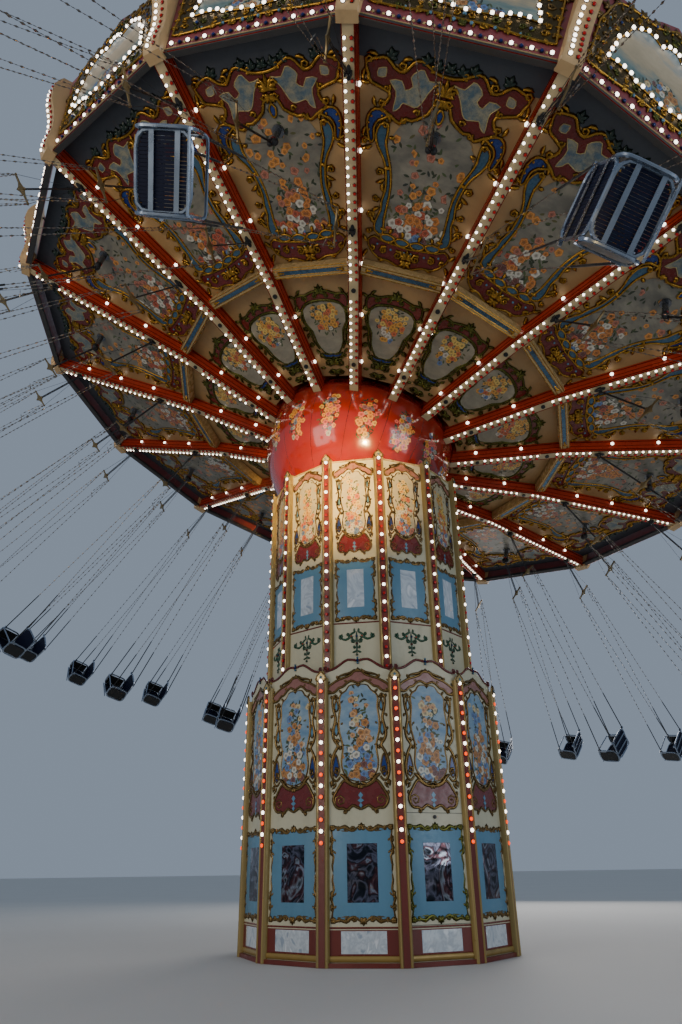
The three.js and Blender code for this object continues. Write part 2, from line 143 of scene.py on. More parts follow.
def corners_of(phase, distance):
    return faces_of(phase + HALF_SIDE, distance)


def crown_face(a, foot, top):
    """On the crown, x across, y from foot to top, both (radius to the corner, height), and z = x cross y."""
    start, end = polar(a, foot[0] * FLAT, foot[1]), polar(a, top[0] * FLAT, top[1])
    up = (end - start).normalized()
    across = sideways(a)
    return CROWN @ frame_at(across, up, across.cross(up), start)


RIB_ANGLES = [RIB_PHASE + k * SECTOR for k in range(RIBS)]
BAY_ANGLES = [a + SECTOR / 2 for a in RIB_ANGLES]


# Colours

def shade(text, alpha=1.0):
    """A linear colour from its hexadecimal sRGB form."""
    parts = [int(text[i:i + 2], 16) / 255 for i in (0, 2, 4)]
    return (*((c / 12.92 if c <= 0.04045 else ((c + 0.055) / 1.055) ** 2.4) for c in parts), alpha)


# Alpha says how much is gold leaf
GILT = shade("b98a38", 1.0)
OLD_GILT = shade("84683a", 0.8)
GREEN_GILT = shade("66652c", 0.9)
CREAM_GOLD = shade("c3ac74", 0.25)
CREAM = shade("cbc6aa", 0.0)
BRICK = shade("6f2a20", 0.0)
PINK = shade("96665c", 0.0)
WINE = shade("6d2320", 0.0)
SKY_BLUE = shade("5f8fab", 0.0)
PALE_BLUE = shade("7ba3b8", 0.0)
# A darker copy of the window blue for the ceiling's side strips: painted shade for the dim light under the
# crown.
SHADED_BAY_BLUE = shade("3d6076", 0.0)
ROYAL = shade("1c3a80", 0.0)
LEAF = shade("2c5a40", 0.0)
DEEP_GREEN = shade("1d3026", 0.0)
ORANGE_RED = shade("b5341b", 0.0)


# Finishes

SOCKETS = {"ior": "IOR", "fac": "Fac", "w": "W", "specular": "Specular IOR Level"}


class Finish:
    """A material in the making: a call adds a node and gives back its output."""

    def __init__(self, name):
        self.material = bpy.data.materials.new(name)
        self.material.use_nodes = True
        self.tree = self.material.node_tree
        self.tree.nodes.clear()
        self.shader = self.node("BsdfPrincipled")
        self.link(self.shader.outputs[0], self.node("OutputMaterial").inputs[0])
        self.object = self.node("TexCoord").outputs["Object"]

    def link(self, source, socket):
        if isinstance(source, bpy.types.NodeSocket):
            self.tree.links.new(source, socket)
        else:
            socket.default_value = source

    def node(self, kind, settings=None, **values):
        node = self.tree.nodes.new("ShaderNode" + kind)
        for key, value in (settings or {}).items():
            setattr(node, key, value)
        for key, value in values.items():
            self.link(value, node.inputs[SOCKETS.get(key, key.replace("_", " ").title())])
        return node

    def calc(self, operation, *values, clamp=False):
        node = self.node("Math", {"operation": operation, "use_clamp": clamp})
        for value, socket in zip(values, node.inputs):
            self.link(value, socket)
        return node.outputs[0]

    def move(self, operation, *values):
        node = self.node("VectorMath", {"operation": operation})
        for value, socket in zip(values, node.inputs):
            self.link(value, socket)
        return node.outputs["Vector"]

    def plus(self, a, b, **options):
        return self.calc("ADD", a, b, **options)

    def minus(self, a, b, **options):
        return self.calc("SUBTRACT", a, b, **options)

    def times(self, a, b):
        return self.calc("MULTIPLY", a, b)

    def over(self, a, b, **options):
        return self.calc("DIVIDE", a, b, **options)

    def squares(self, a, b):
        """a squared plus b squared."""
        return self.plus(self.times(a, a), self.times(b, b))

    def scaled(self, vector, by):
        return self.move("MULTIPLY", vector, by)

    def parts(self, vector):
        return self.node("SeparateXYZ", vector=vector).outputs

    def noise(self, scale, detail=2.0, roughness=0.5, vector=None):
        return self.node("TexNoise", vector=vector or self.object, scale=scale, detail=detail,
                         roughness=roughness).outputs[0]

    def cells(self, size, vector):
        """A flat cell pattern, with its cells this size."""
        return self.node("TexVoronoi", {"voronoi_dimensions": "2D"}, vector=vector, scale=1 / size).outputs

    def ramp(self, value, *stops, steps=False):
        node = self.node("ValToRGB", fac=value)
        node.color_ramp.interpolation = "CONSTANT" if steps else "LINEAR"
        elements = node.color_ramp.elements
        while len(elements) < len(stops):
            elements.new(0.5)
        for element, (place, value) in zip(elements, stops):
            element.position = place
            element.color = value if isinstance(value, tuple) else (value, value, value, 1)
        return node.outputs[0]

    def mix(self, factor, a, b, blend="MIX"):
        node = self.node("Mix", {"data_type": "RGBA", "blend_type": blend})
        for value, index in ((factor, 0), (a, 6), (b, 7)):
            self.link(value, node.inputs[index])
        return node.outputs[2]

    def attribute(self, name):
        return self.node("Attribute", {"attribute_name": name}).outputs

    def bump(self, height, strength=0.3, distance=0.01):
        self.link(self.node("Bump", strength=strength, distance=distance, height=height).outputs[0],
                  self.shader.inputs["Normal"])

    def set(self, **values):
        for key, value in values.items():
            self.link(value, self.shader.inputs[SOCKETS.get(key, key.replace("_", " ").title())])
        return self

    def done(self):
        return self.material


def worn_paint(name, base, dirt, roughness=0.38, stain=0.35, metal=0.0, streak=(3, 3, 0.5)):
    """Satin paint with soft stains that run down, a little colour drift and an uneven gloss."""
    f = Finish(name)
    drift = f.noise(0.9, 3)
    runs = f.noise(1.6, 5, 0.65, f.scaled(f.object, streak))
    spots = f.noise(14, 4, 0.7)
    mask = f.times(f.ramp(runs, (0.48, 0.0), (0.74, 1.0)), f.ramp(spots, (0.35, 0.3), (0.65, 1.0)))
    colour = f.mix(f.times(mask, stain), base, dirt)
    colour = f.mix(f.times(drift, 0.18), colour, shade("8f8a7c"), "OVERLAY")
    f.set(base_color=colour, metallic=metal, roughness=f.ramp(spots, (0.3, roughness - 0.08),
                                                              (0.7, roughness + 0.14)))
    f.bump(f.noise(60, 3), 0.08, 0.002)
    return f.done()


def carved_paint():
    """Carved and painted work: its colour is kept with the points, and alpha says how much is gold leaf."""
    f = Finish("carved_paint")
    tint = f.attribute("tint")
    wear = f.ramp(f.noise(11, 5, 0.6), (0.50, 0.0), (0.72, 1.0))
    worn = f.times(wear, f.calc("MULTIPLY_ADD", tint["Alpha"], 0.30, 0.20))
    rub = f.mix(worn, tint["Color"], shade("2c2014"))
    gold = f.times(tint["Alpha"], 0.9)
    f.set(base_color=rub, metallic=gold, roughness=f.ramp(f.noise(12, 3), (0.35, 0.17), (0.65, 0.36)))
    f.bump(f.noise(14, 2), 0.12, 0.004)
    return f.done()


def bulb_glass(name, colour, glow, strength):
    """A lamp: glass of one colour, with a glow of its own."""
    f = Finish(name)
    f.set(base_color=colour, roughness=0.12, emission_color=glow, emission_strength=strength)
    f.material.cycles.emission_sampling = "NONE"
    return f.done()


def bright_metal(name, colour, roughness=0.28):
    """Rolled or galvanised metal with handling marks."""
    f = Finish(name)
    marks = f.noise(7, 4, 0.55)
    dull = f.noise(5, 3)
    f.set(base_color=f.mix(f.times(dull, 0.5), colour, shade("5c6068")), metallic=0.9,
          roughness=f.ramp(marks, (0.3, roughness - 0.1), (0.75, roughness + 0.2)))
    f.bump(marks, 0.08, 0.001)
    return f.done()


def mirror_glass(name, *reflection_tones, metal=0.85):
    """A thin acrylic mirror, which bends what it reflects into long waves; bands of the given tones in its
    colour are painted reflections.
    """
    f = Finish(name)
    waves = f.noise(2.4, 2, 0.5, f.scaled(f.object, (1, 1, 1.5)))
    rings = f.node("TexNoise", vector=f.scaled(f.object, (1, 1, 0.7)), scale=3.2, detail=3.0,
                   distortion=2.6).outputs[0]
    # The bands of tones are painted reflections of what the mirror faces.
    stops = [(0.32 + 0.36 * i / (len(reflection_tones) - 1), tone) for i, tone in enumerate(reflection_tones)]
    f.set(base_color=f.ramp(rings, *stops), metallic=metal, roughness=0.07)
    f.bump(waves, 0.35, 0.03)
    return f.done()


def scattered(f, place, mask, size, seed):
    """The nearest point of a cell pattern.

    Gives the arm to it in cells, three random values, whether mask grows it, and the point itself.
    """
    shift = (seed * 3.7, seed * 1.9, 0)
    cell = f.cells(size, f.move("ADD", place, shift))
    centre = f.move("SUBTRACT", cell["Position"], shift)
    dice = f.parts(cell["Color"])
    arm = f.parts(f.scaled(f.move("SUBTRACT", place, centre), (1 / size, 1 / size, 0)))
    return arm, dice, f.calc("GREATER_THAN", mask(centre), dice[1]), centre


def roses(f, place, mask, size, palette, seed, height):
    """Full blooms with folded petals: their colour and cover.

    With height(centre), the palette runs up the bouquet.
    """
    arm, dice, grown, centre = scattered(f, place, mask, size, seed)
    angle = f.plus(f.calc("ARCTAN2", arm[1], arm[0]), f.times(dice[0], TURN))
    reach = f.calc("SQRT", f.squares(arm[0], arm[1]))
    edge = f.calc("MULTIPLY_ADD", f.calc("COSINE", f.times(angle, 5.0)), 0.035, 0.40)
    share = f.over(reach, edge)
    cover = f.times(grown, f.calc("LESS_THAN", share, 1.0))
    pick = dice[2]
    if height:
        pick = f.plus(f.times(dice[2], 0.4), f.times(height(centre), 0.6))
    colour = f.ramp(pick, *palette, steps=True)
    twist = f.calc("SINE", f.times(angle, 2.5))
    fold = f.calc("SINE", f.plus(f.times(share, 11.0), f.times(twist, 1.8)))
    colour = f.mix(f.calc("MULTIPLY_ADD", fold, 0.10, 0.04, clamp=True), colour, shade("fff2dc"))
    deep = f.ramp(share, (0.0, 0.75), (0.30, 0.45), (0.55, 0.0), (0.86, 0.0), (1.0, 0.65))
    return f.mix(deep, colour, shade("3c1d10")), cover


def leaflets(f, place, mask, size, colours, seed):
    """Small pointed leaves at all angles: their colour and cover."""
    arm, dice, grown, _ = scattered(f, place, mask, size, seed)
    spin = f.times(dice[0], TURN)
    c, s = f.calc("COSINE", spin), f.calc("SINE", spin)
    u = f.plus(f.times(arm[0], c), f.times(arm[1], s))
    v = f.minus(f.times(arm[1], c), f.times(arm[0], s))
    u, v = f.over(u, 0.46), f.over(v, 0.17)
    reach = f.plus(f.times(u, u), f.calc("ABSOLUTE", v))
    return f.ramp(dice[2], *colours, steps=True), f.times(grown, f.calc("LESS_THAN", reach, 1.0))


LEAVES = ((0.0, shade("26361f")), (0.4, shade("46582f")), (0.7, shade("1f2c2a")), (0.85, shade("5c5a30")))


def bouquet(name, ground, mask, size, palette, roughness=0.4, numbered=True, climb=None, leaves=LEAVES):
    """A painted bouquet on its ground: leaves, then three layers of blooms."""
    f = Finish(name)
    place = f.node("UVMap", {"uv_map": "canvas"}).outputs[0]
    number = f.attribute("panel")["Fac"] if numbered else 0.0
    slide = f.node("CombineXYZ", x=f.times(number, 7.31), y=f.times(number, 3.17), z=0.0).outputs[0]
    moved = f.move("ADD", place, slide)

    def still(centre):
        return f.move("SUBTRACT", centre, slide)

    def level(centre):
        return mask(f, still(centre))

    def wide(centre):
        return f.times(level(centre), 1.5)

    def height(centre):
        low, high = climb
        return f.over(f.minus(f.parts(still(centre))[1], low), high - low, clamp=True)

    colour = ground(f, place)
    for seed in (5, 6, 7):
        leaf, cover = leaflets(f, moved, wide, size * 0.62, leaves, seed)
        colour = f.mix(cover, colour, leaf)
    for scale, seed in ((0.66, 3), (1.0, 1), (0.84, 2)):
        bloom, cover = roses(f, moved, level, size * scale, palette, seed, height if climb else None)
        colour = f.mix(cover, colour, bloom)
    dust = f.noise(9, 4, 0.7, place)
    f.set(base_color=f.mix(f.times(dust, 0.25), colour, shade("5c5242")), roughness=roughness)
    f.bump(f.noise(55, 3, 0.6, place), 0.1, 0.002)
    return f


# Meshes

def shape(build):
    """A mesh from a function that fills a bmesh, with its faces turned outwards."""
    bm = bmesh.new()
    build(bm)
    bmesh.ops.recalc_face_normals(bm, faces=bm.faces)
    mesh = bpy.data.meshes.new("shape")
    bm.to_mesh(mesh)
    bm.free()
    return mesh


def tinted(mesh, tint, depth=0.0):
    """Keeps a colour with every point: painted shade towards the back of the relief, partly patina, and a
    painted highlight at its front.
    """
    count = len(mesh.vertices)
    co = np.empty(count * 3)
    mesh.vertices.foreach_get("co", co)
    z = co.reshape(-1, 3)[:, 2]
    colours = np.tile(np.array(tint, float), (count, 1))
    if depth and z.max() > z.min():
        light = np.clip((z - z.min()) / (z.max() - z.min()), 0, 1)
        # Painted shade and highlight: the back of the relief darkens, and its front grows brighter than the
        # colour.
        colours[:, :3] *= (1 - depth + depth * light ** 2 * 1.25)[:, None]
    layer = mesh.color_attributes.new("tint", "FLOAT_COLOR", "POINT")
    layer.data.foreach_set("color", colours.ravel())
    return mesh


def mapped(mesh):
    """Lays the flat canvas map: x and y of the drawing, in metres."""
    layer = mesh.uv_layers.new(name="canvas")
    for loop in mesh.loops:
        co = mesh.vertices[loop.vertex_index].co
        layer.data[loop.index].uv = (co.x, co.y)
    return mesh


def gathered(meshes, places=(Matrix(),), numbered=False):
    """One mesh of all the meshes, at every place; numbered copies keep their number for the painting."""
    bm = bmesh.new()
    for number, place in enumerate(places):
        for mesh in meshes:
            copy = mesh.copy()
            copy.transform(place)
            if numbered:
                layer = copy.attributes.new("panel", "FLOAT", "POINT")
                layer.data.foreach_set("value", [float(number)] * len(copy.vertices))
            bm.from_mesh(copy)
            bpy.data.meshes.remove(copy)
    mesh = bpy.data.meshes.new("gathered")
    bm.to_mesh(mesh)
    bm.free()
    return mesh


def added(name, data):
    """A new object with this data, in the scene."""
    obj = bpy.data.objects.new(name, data)
    bpy.context.scene.collection.objects.link(obj)
    return obj


def piece(name, mesh, body, materials, smooth="creased", replaces=()):
    """A finished piece: its mesh in place, riding on its body."""
    mesh.name = name
    obj = added(name, mesh)
    for material in materials if isinstance(materials, (list, tuple)) else [materials]:
        mesh.materials.append(material)
    if smooth:
        mesh.polygons.foreach_set("use_smooth", [True] * len(mesh.polygons))
    if smooth == "creased":
        mesh.set_sharp_from_angle(angle=CREASE)
    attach(obj, body)
    if replaces:
        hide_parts(*replaces)
    return obj


def box(lo, hi, edge=0.0):
    """A block between two corners, its edges broken if asked."""
    def build(bm):
        bmesh.ops.create_cube(bm, size=1)
        size = Vector(hi) - Vector(lo)
        bmesh.ops.scale(bm, vec=size, verts=bm.verts)
        bmesh.ops.translate(bm, vec=(Vector(lo) + Vector(hi)) / 2, verts=bm.verts)
        if edge:
            bmesh.ops.bevel(bm, geom=bm.edges, offset=edge, segments=1, affect="EDGES", profile=0.5,
                            material=-1)
    return shape(build)


def plate(points, thick, foot=0.0, edge=0.0):
    """A flat plate from its outline, standing out from z = foot."""
    def build(bm):
        face = bm.faces.new([bm.verts.new((x, y, foot)) for x, y in points])
        top = bmesh.ops.extrude_face_region(bm, geom=[face])["geom"]
        raised = [v for v in top if isinstance(v, bmesh.types.BMVert)]
        bmesh.ops.translate(bm, vec=(0, 0, thick), verts=raised)
        if edge:
            rim = [e for e in bm.edges if all(v in raised for v in e.verts)]
            bmesh.ops.bevel(bm, geom=rim, offset=edge, segments=2, affect="EDGES", profile=0.5, material=-1)
    return shape(build)


def ball(centre, radius, squash=1.0, around=6, rings=4):
    """A round knob, squashed along z."""
    def build(bm):
        bmesh.ops.create_uvsphere(bm, u_segments=around, v_segments=rings, radius=radius)
        bmesh.ops.scale(bm, vec=(1, 1, squash), verts=bm.verts)
        bmesh.ops.translate(bm, vec=centre, verts=bm.verts)
    return shape(build)


def rod(start, end, radius, sides=8, end_radius=None):
    """A straight round bar from start to end."""
    start, end = Vector(start), Vector(end)
    def build(bm):
        bmesh.ops.create_cone(bm, cap_ends=True, segments=sides, radius1=radius, radius2=end_radius or radius,
                              depth=(end - start).length)
        turn = Vector((0, 0, 1)).rotation_difference(end - start).to_matrix().to_4x4()
        bmesh.ops.transform(bm, matrix=Matrix.Translation((start + end) / 2) @ turn, verts=bm.verts)
    return shape(build)


def moulding(profile, wide):
    """A straight moulding across a face, from its outline in (y, z)."""
    mesh = plate(profile, wide)
    mesh.transform(Matrix(((0, 0, 1, -wide / 2), (1, 0, 0, 0), (0, 1, 0, 0), (0, 0, 0, 1))))
    return mesh


def turned(points, steps, phase=0.0):
    """A shape turned about the upright axis from its outline in (radius, height)."""
    def build(bm):
        verts = [bm.verts.new(polar(phase, r, z)) for r, z in points]
        edges = [bm.edges.new(pair) for pair in zip(verts, verts[1:])]
        bmesh.ops.spin(bm, geom=verts + edges, cent=(0, 0, 0), axis=(0, 0, 1), dvec=(0, 0, 0), angle=TURN,
                       steps=steps, use_merge=True)
        bmesh.ops.remove_doubles(bm, verts=bm.verts, dist=1e-5)
    return shape(build)


def collar(inner, outer, foot, top, steps, phase=0.0):
    """A square-edged ring about the upright axis."""
    return turned([(inner, foot), (outer, foot), (outer, top), (inner, top), (inner, foot)], steps, phase)


def rectangle(half, foot, top):
    return [(-half, foot), (half, foot), (half, top), (-half, top)]


# Drawn carvings

class Drawing:
    """The right half of a carved ornament: strokes with a swelling radius, filled patches and beads.

    What lies across the middle is kept whole, as panels. Bold thickens every stroke.
    """

    def __init__(self, bold=1.0):
        self.bold = bold
        self.strokes = {}
        self.meshes = []
        self.whole = []

    def stroke(self, points, radii, tint=GILT, rise=0.0):
        self.strokes.setdefault((tint, rise), []).append((points, [radius * self.bold for radius in radii]))

    def leaf(self, start, heading, length, bend, wide, tint=GILT, rise=0.0):
        """A leaf that turns by bend degrees over its length, full near its foot and thin at its tip."""
        x, y = start
        points, radii = [], []
        angle = math.radians(heading)
        steps, tip = 4, 0.15
        for i in range(steps):
            t = i / (steps - 1)
            points.append((x, y))
            radii.append(wide * (tip + (1 - tip) * math.sin(math.pi * min(1, 0.12 + t * 0.88)) ** 0.7))
            angle += math.radians(bend) / steps
            x += math.cos(angle) * length / (steps - 1)
            y += math.sin(angle) * length / (steps - 1)
        self.stroke(points, radii, tint, rise)

    def fan(self, centre, heading, spread, count, length, wide, tint=GILT, rise=0.004):
        """A shell or palmette of leaves; on the middle line only its right half, as the rest is mirrored."""
        for i in range(count):
            lean = spread * (i / (count - 1) - 0.5)
            if centre[0] == 0 and math.cos(math.radians(heading + lean)) < -1e-6:
                continue
            share = 1 - 0.35 * abs(lean) / (spread / 2 + 1e-6)
            self.leaf(centre, heading + lean, length * share, lean * 0.8, wide, tint, rise)

    def line(self, points, wide, tint=GILT, rise=0.0, taper=0.45):
        """A smooth stroke through points, thinner at its ends."""
        path = smooth(points, closed=False)
        last = len(path) - 1
        swell = [abs(math.sin(math.pi * i / last)) ** 0.6 for i in range(last + 1)]
        self.stroke(path, [wide * (taper + (1 - taper) * share) for share in swell], tint, rise)

    def volute(self, centre, radius, start, turns, wide, tint=GILT, rise=0.0):
        """A spiral from its rim into its eye; turns below zero wind clockwise."""
        steps = max(7, round(6.4 * abs(turns)))
        points, radii = [], []
        for i in range(steps):
            t = i / (steps - 1)
            a = math.radians(start) + turns * TURN * t
            reach = radius * (1 - 0.86 * t)
            points.append((centre[0] + reach * math.cos(a), centre[1] + reach * math.sin(a)))
            radii.append(wide * (1 - 0.3 * t))
        radii[-1] = wide * 1.3
        self.stroke(points, radii, tint, rise)

    def leaves(self, table, wide, tint=GILT, rise=0.0):
        """Leaves, each (foot, heading, length, bend)."""
        for start, heading, length, bend in table:
            self.leaf(start, heading, length, bend, wide, tint, rise)

    def volutes(self, table, wide, tint=GILT, rise=0.0):
        """Spirals, each (eye, radius, start, turns)."""
        for centre, radius, start, turns in table:
            self.volute(centre, radius, start, turns, wide, tint, rise)

    def panel(self, half, tint, thick=0.005, rim=0.0, rim_tint=GILT, rise=0.0, detail=DETAIL):
        """A filled shape across the middle, from its right half."""
        self.whole.append(tinted(filled(mirrored(half), thick, rise, detail), tint))
        if rim:
            self.line(half, rim, rim_tint, rise + thick, 1.0)

    def bead(self, at, radius, tint=GILT, rise=0.0):
        # Beads get light painted shade underneath and a painted highlight on top.
        self.meshes.append(tinted(ball((at[0], at[1], rise), radius, 0.8, 5, 3), tint, 0.35))

    def patch(self, outline, tint, thick, rim, rim_tint=GILT):
        """A filled shape through its points, with a carved rim."""
        self.meshes.append(tinted(filled(outline, thick), tint))
        points = smooth(outline)
        self.stroke(points + points[:1], [rim] * (len(points) + 1), rim_tint, thick)

    def built(self, flatten=0.75):
        """The whole ornament: what was drawn, its mirror image, and the panels across the middle."""
        meshes = list(self.meshes)
        for (tint, rise), lines in self.strokes.items():
            tubes = tubes_of(lines, 0)
            tubes.transform(Matrix.Translation((0, 0, rise)) @ Matrix.Diagonal((1, 1, flatten, 1)))
            # Strokes get strong painted shade at their backs and a painted highlight on their crests.
            meshes.append(tinted(tubes, tint, 0.9))
        return gathered([both(gathered(meshes)), *self.whole])


def as_mesh(curve):
    """The mesh of a curve, which is removed."""
    obj = added("drawn", curve)
    bpy.context.view_layer.update()
    mesh = bpy.data.meshes.new_from_object(obj.evaluated_get(bpy.context.evaluated_depsgraph_get()))
    bpy.data.objects.remove(obj)
    bpy.data.curves.remove(curve)
    return mesh


def tubes_of(lines, roundness):
    """Closed tubes along lines of points in a plane or in space, each with its own radii."""
    curve = bpy.data.curves.new("strokes", "CURVE")
    curve.dimensions = "3D"
    curve.bevel_depth = 1.0
    curve.bevel_resolution = roundness
    curve.use_fill_caps = True
    for points, radii in lines:
        spline = curve.splines.new("POLY")
        spline.points.add(len(points) - 1)
        for point, at, radius in zip(spline.points, points, radii):
            point.co = (at[0], at[1], at[2] if len(at) > 2 else 0.0, 1)
            point.radius = radius
    return as_mesh(curve)


def both(mesh):
    """A right half with its mirror image."""
    other = mesh.copy()
    other.transform(Matrix.Diagonal((-1, 1, 1, 1)))
    other.flip_normals()
    return gathered([mesh, other])


def smooth(outline, detail=DETAIL, closed=True):
    """Points of a smooth curve through an outline."""
    count = len(outline)

    def at(i):
        return Vector(outline[i % count] if closed else outline[max(0, min(count - 1, i))])

    points = []
    for i in range(count if closed else count - 1):
        p0, p1, p2, p3 = (at(i + j) for j in (-1, 0, 1, 2))
        for step in range(detail):
            t = step / detail
            points.append(tuple(0.5 * (2 * p1 + (p2 - p0) * t + (2 * p0 - 5 * p1 + 4 * p2 - p3) * t * t
                                       + (3 * p1 - p0 - 3 * p2 + p3) * t ** 3)))
    return points if closed else [*points, tuple(outline[-1])]


def filled(outline, thick, rise=0.0, detail=DETAIL):
    """A smooth flat shape of a given thickness."""
    def build(bm):
        verts = [bm.verts.new((x, y, rise)) for x, y in smooth(outline, detail)]
        face = bm.faces.new(verts)
        top = bmesh.ops.extrude_face_region(bm, geom=[face])["geom"]
        bmesh.ops.translate(bm, vec=(0, 0, thick), verts=[v for v in top
                                                          if isinstance(v, bmesh.types.BMVert)])
        bmesh.ops.triangulate(bm, faces=[f for f in bm.faces if len(f.verts) > 4])
    mesh = shape(build)
    mesh.set_sharp_from_angle(angle=CREASE)
    return mesh


def mirrored(half):
    """A whole outline from its right half."""
    return [*half, *((-x, y) for x, y in reversed(half) if abs(x) > 1e-6)]


def canvas(outline, rise=0.004):
    """The painted ground inside an ornament, with its map."""
    return mapped(filled(mirrored(outline), 0.002, rise))


# Materials of the ride

def bay_ground(base, light):
    """A canvas ground with paler brushed clouds."""
    def paint(f, place):
        clouds = f.noise(2.6, 4, 0.6, f.scaled(place, (1.0, 1.8, 1.0)))
        return f.mix(f.ramp(clouds, (0.38, 0.0), (0.66, 1.0)), base, light)
    return paint


def pyramid(low, high, wide, narrow, sparse=0.0):
    """A bouquet that is broad at the foot and thins out towards its tip, with a few blooms round it."""
    def mask(f, place):
        x, y, _ = f.parts(place)
        t = f.over(f.minus(y, low), high - low, clamp=True)
        half = f.calc("MULTIPLY_ADD", t, narrow - wide, wide)
        across = f.over(f.calc("ABSOLUTE", x), half)
        inside = f.minus(1.15, f.calc("POWER", across, 3.0), clamp=True)
        ends = f.times(f.calc("LESS_THAN", y, high), f.calc("GREATER_THAN", y, low))
        thin = f.minus(1.15, f.times(t, 0.6))
        return f.calc("MAXIMUM", f.times(f.times(inside, ends), thin), sparse)
    return mask


def oval(x, y, half, tall):
    """A round bouquet about a point."""
    def mask(f, place):
        px, py, _ = f.parts(place)
        u = f.over(f.minus(px, x), half)
        v = f.over(f.minus(py, y), tall)
        return f.minus(1.25, f.squares(u, v), clamp=True)
    return mask


PEACH, OLD_ROSE, CREAM_ROSE = shade("d39a62"), shade("b5654c"), shade("dcc690")
GOLD_ROSE, MAROON_ROSE = shade("b9782a"), shade("6a2a2c")
BLUE_ROSE, WHITE_ROSE = shade("4f7cb4"), shade("d8d4c4")
TOWER_ROSES = ((0.0, MAROON_ROSE), (0.16, BLUE_ROSE), (0.24, GOLD_ROSE), (0.34, WHITE_ROSE),
               (0.44, GOLD_ROSE), (0.54, BLUE_ROSE), (0.62, PEACH), (0.80, CREAM_ROSE))
SUNNY_ROSES = ((0.0, OLD_ROSE), (0.14, BLUE_ROSE), (0.24, WHITE_ROSE), (0.36, shade("d4602c")),
               (0.48, shade("e0a02c")), (0.66, shade("ecc860")), (0.84, shade("e0a02c")))
FIRE_ROSES = ((0.0, BLUE_ROSE), (0.10, MAROON_ROSE), (0.22, shade("b8451c")), (0.32, WHITE_ROSE),
              (0.44, shade("cf7a1c")), (0.60, OLD_ROSE), (0.72, shade("d98a24")))
DRUM_ROSES = ((0.0, shade("e8941c")), (0.30, shade("e2605a")), (0.52, shade("a8a49a")),
              (0.68, shade("e0b040")), (0.82, shade("8a5a70")), (0.92, shade("5c7090")))

cream_paint = worn_paint("cream_panel_paint", CREAM, shade("8c8a68"), stain=0.4)
brick_paint = worn_paint("brick_red_paint", BRICK, shade("3a1a16"))
post_cream = worn_paint("post_gilt_paint", shade("9c8650"), shade("4f4024"), 0.34, metal=0.25)
blue_paint = worn_paint("window_blue_paint", SKY_BLUE, shade("3f6a80"))
rail_wood = worn_paint("gold_rail_paint", shade("a08445"), shade("5a4524"), 0.36, 0.5, 0.25, (0.4, 3, 3))
rib_red = worn_paint("rib_red_paint", ORANGE_RED, shade("5c1a10"), 0.3)
rib_cream = worn_paint("rib_cream_paint", shade("bda880"), shade("7c6c50"))
ceiling_cream = worn_paint("ceiling_cream_paint", shade("b08e5e"), shade("765a34"), 0.42)
wine_paint = worn_paint("cornice_wine_paint", shade("8e4446"), shade("5a2226"))
pilaster_cream = worn_paint("pilaster_cream_paint", shade("c9a878"), shade("8c6c44"))
# Grey for the roof's battens, and for the painted shadow bands at the ceiling's rim.
shadow_and_batten_grey = worn_paint("soffit_grey_paint", shade("3f434a"), shade("2b2b2c"), 0.5)
edge_grey = worn_paint("edge_grey_paint", shade("3d3c3b"), shade("242322"), 0.5)
frame_grey = worn_paint("frame_grey_paint", shade("5a5c5e"), shade("33302c"), 0.5, 0.6)
mast_grey = worn_paint("mast_grey_paint", shade("6c6f72"), shade("2e2a26"), 0.42, 0.6, 0.3)
roof_skin = worn_paint("roof_laminate", shade("b5ae9c"), shade("716a58"), 0.6, 0.5, 0.0, (2, 2, 2))
black_rubber = worn_paint("black_sleeve", shade("17181a"), shade("2c2b2a"), 0.55, 0.5)
carved = carved_paint()
# Two mirrors with painted reflections: pale ones for the dado and upper windows, dark ones for the lower
# windows.
pale_reflection_mirror = mirror_glass("mirror_painted_pale_reflections", shade("a9b6c4"), shade("dfe6ea"), shade("c3ccd4"),
                            shade("f4f8fa"), metal=0.35)
mirror_painted_dark_reflections = mirror_glass("mirror_painted_dark_reflections", shade("1d2026"), shade("2a2d34"), shade("6c6a78"), shade("23262c"),
                           shade("5c3a3e"), shade("9aa0a8"), shade("30343a"))
white_bulb = bulb_glass("bulb_white", shade("fff6e8"), shade("fff4e4"), 5.0)
amber_bulb = bulb_glass("bulb_amber", shade("ff5208"), shade("ff4a06"), 1.5)
red_bulb = bulb_glass("bulb_red", shade("a01410"), shade("a01410"), 0.22)
blue_bulb = bulb_glass("bulb_blue", shade("111c58"), shade("1c2f8a"), 0.05)
socket_metal = bright_metal("bulb_socket", shade("3a3836"), 0.4)
tube_metal = bright_metal("aluminium_tube", shade("98a6b8"), 0.24)
chain_metal = bright_metal("chain_steel", shade("8f8474"), 0.36)
bronze_metal = bright_metal("spreader_bronze", shade("9c8350"), 0.4)

tower_canvas = bouquet("tower_canvas", bay_ground(shade("6a93b4"), shade("a9bcc4")),
                       pyramid(-0.56, 0.46, 0.21, 0.09, 0.02), 0.125, TOWER_ROSES, climb=(-0.56, 0.40)).done()
warm_canvas = bouquet("upper_canvas", bay_ground(shade("b3ad92"), shade("cfc6a4")),
                      pyramid(-0.56, 0.44, 0.20, 0.10, 0.03), 0.125, SUNNY_ROSES, climb=(-0.56, 0.40)).done()
# The ceiling canvases' ground is greyed down: painted shade for the dim light under the crown.
bay_canvas = bouquet("ceiling_canvas", bay_ground(shade("6f6c62"), shade("96907e")),
                     pyramid(0.50, 1.30, 0.44, 0.18, 0.10), 0.155, FIRE_ROSES, climb=(0.50, 1.50)).done()
inner_canvas = bouquet("inner_ceiling_canvas", bay_ground(shade("8a8674"), shade("aaa48c")),
                       oval(0.0, 1.00, 0.22, 0.28), 0.125, SUNNY_ROSES, climb=(0.5, 1.3)).done()


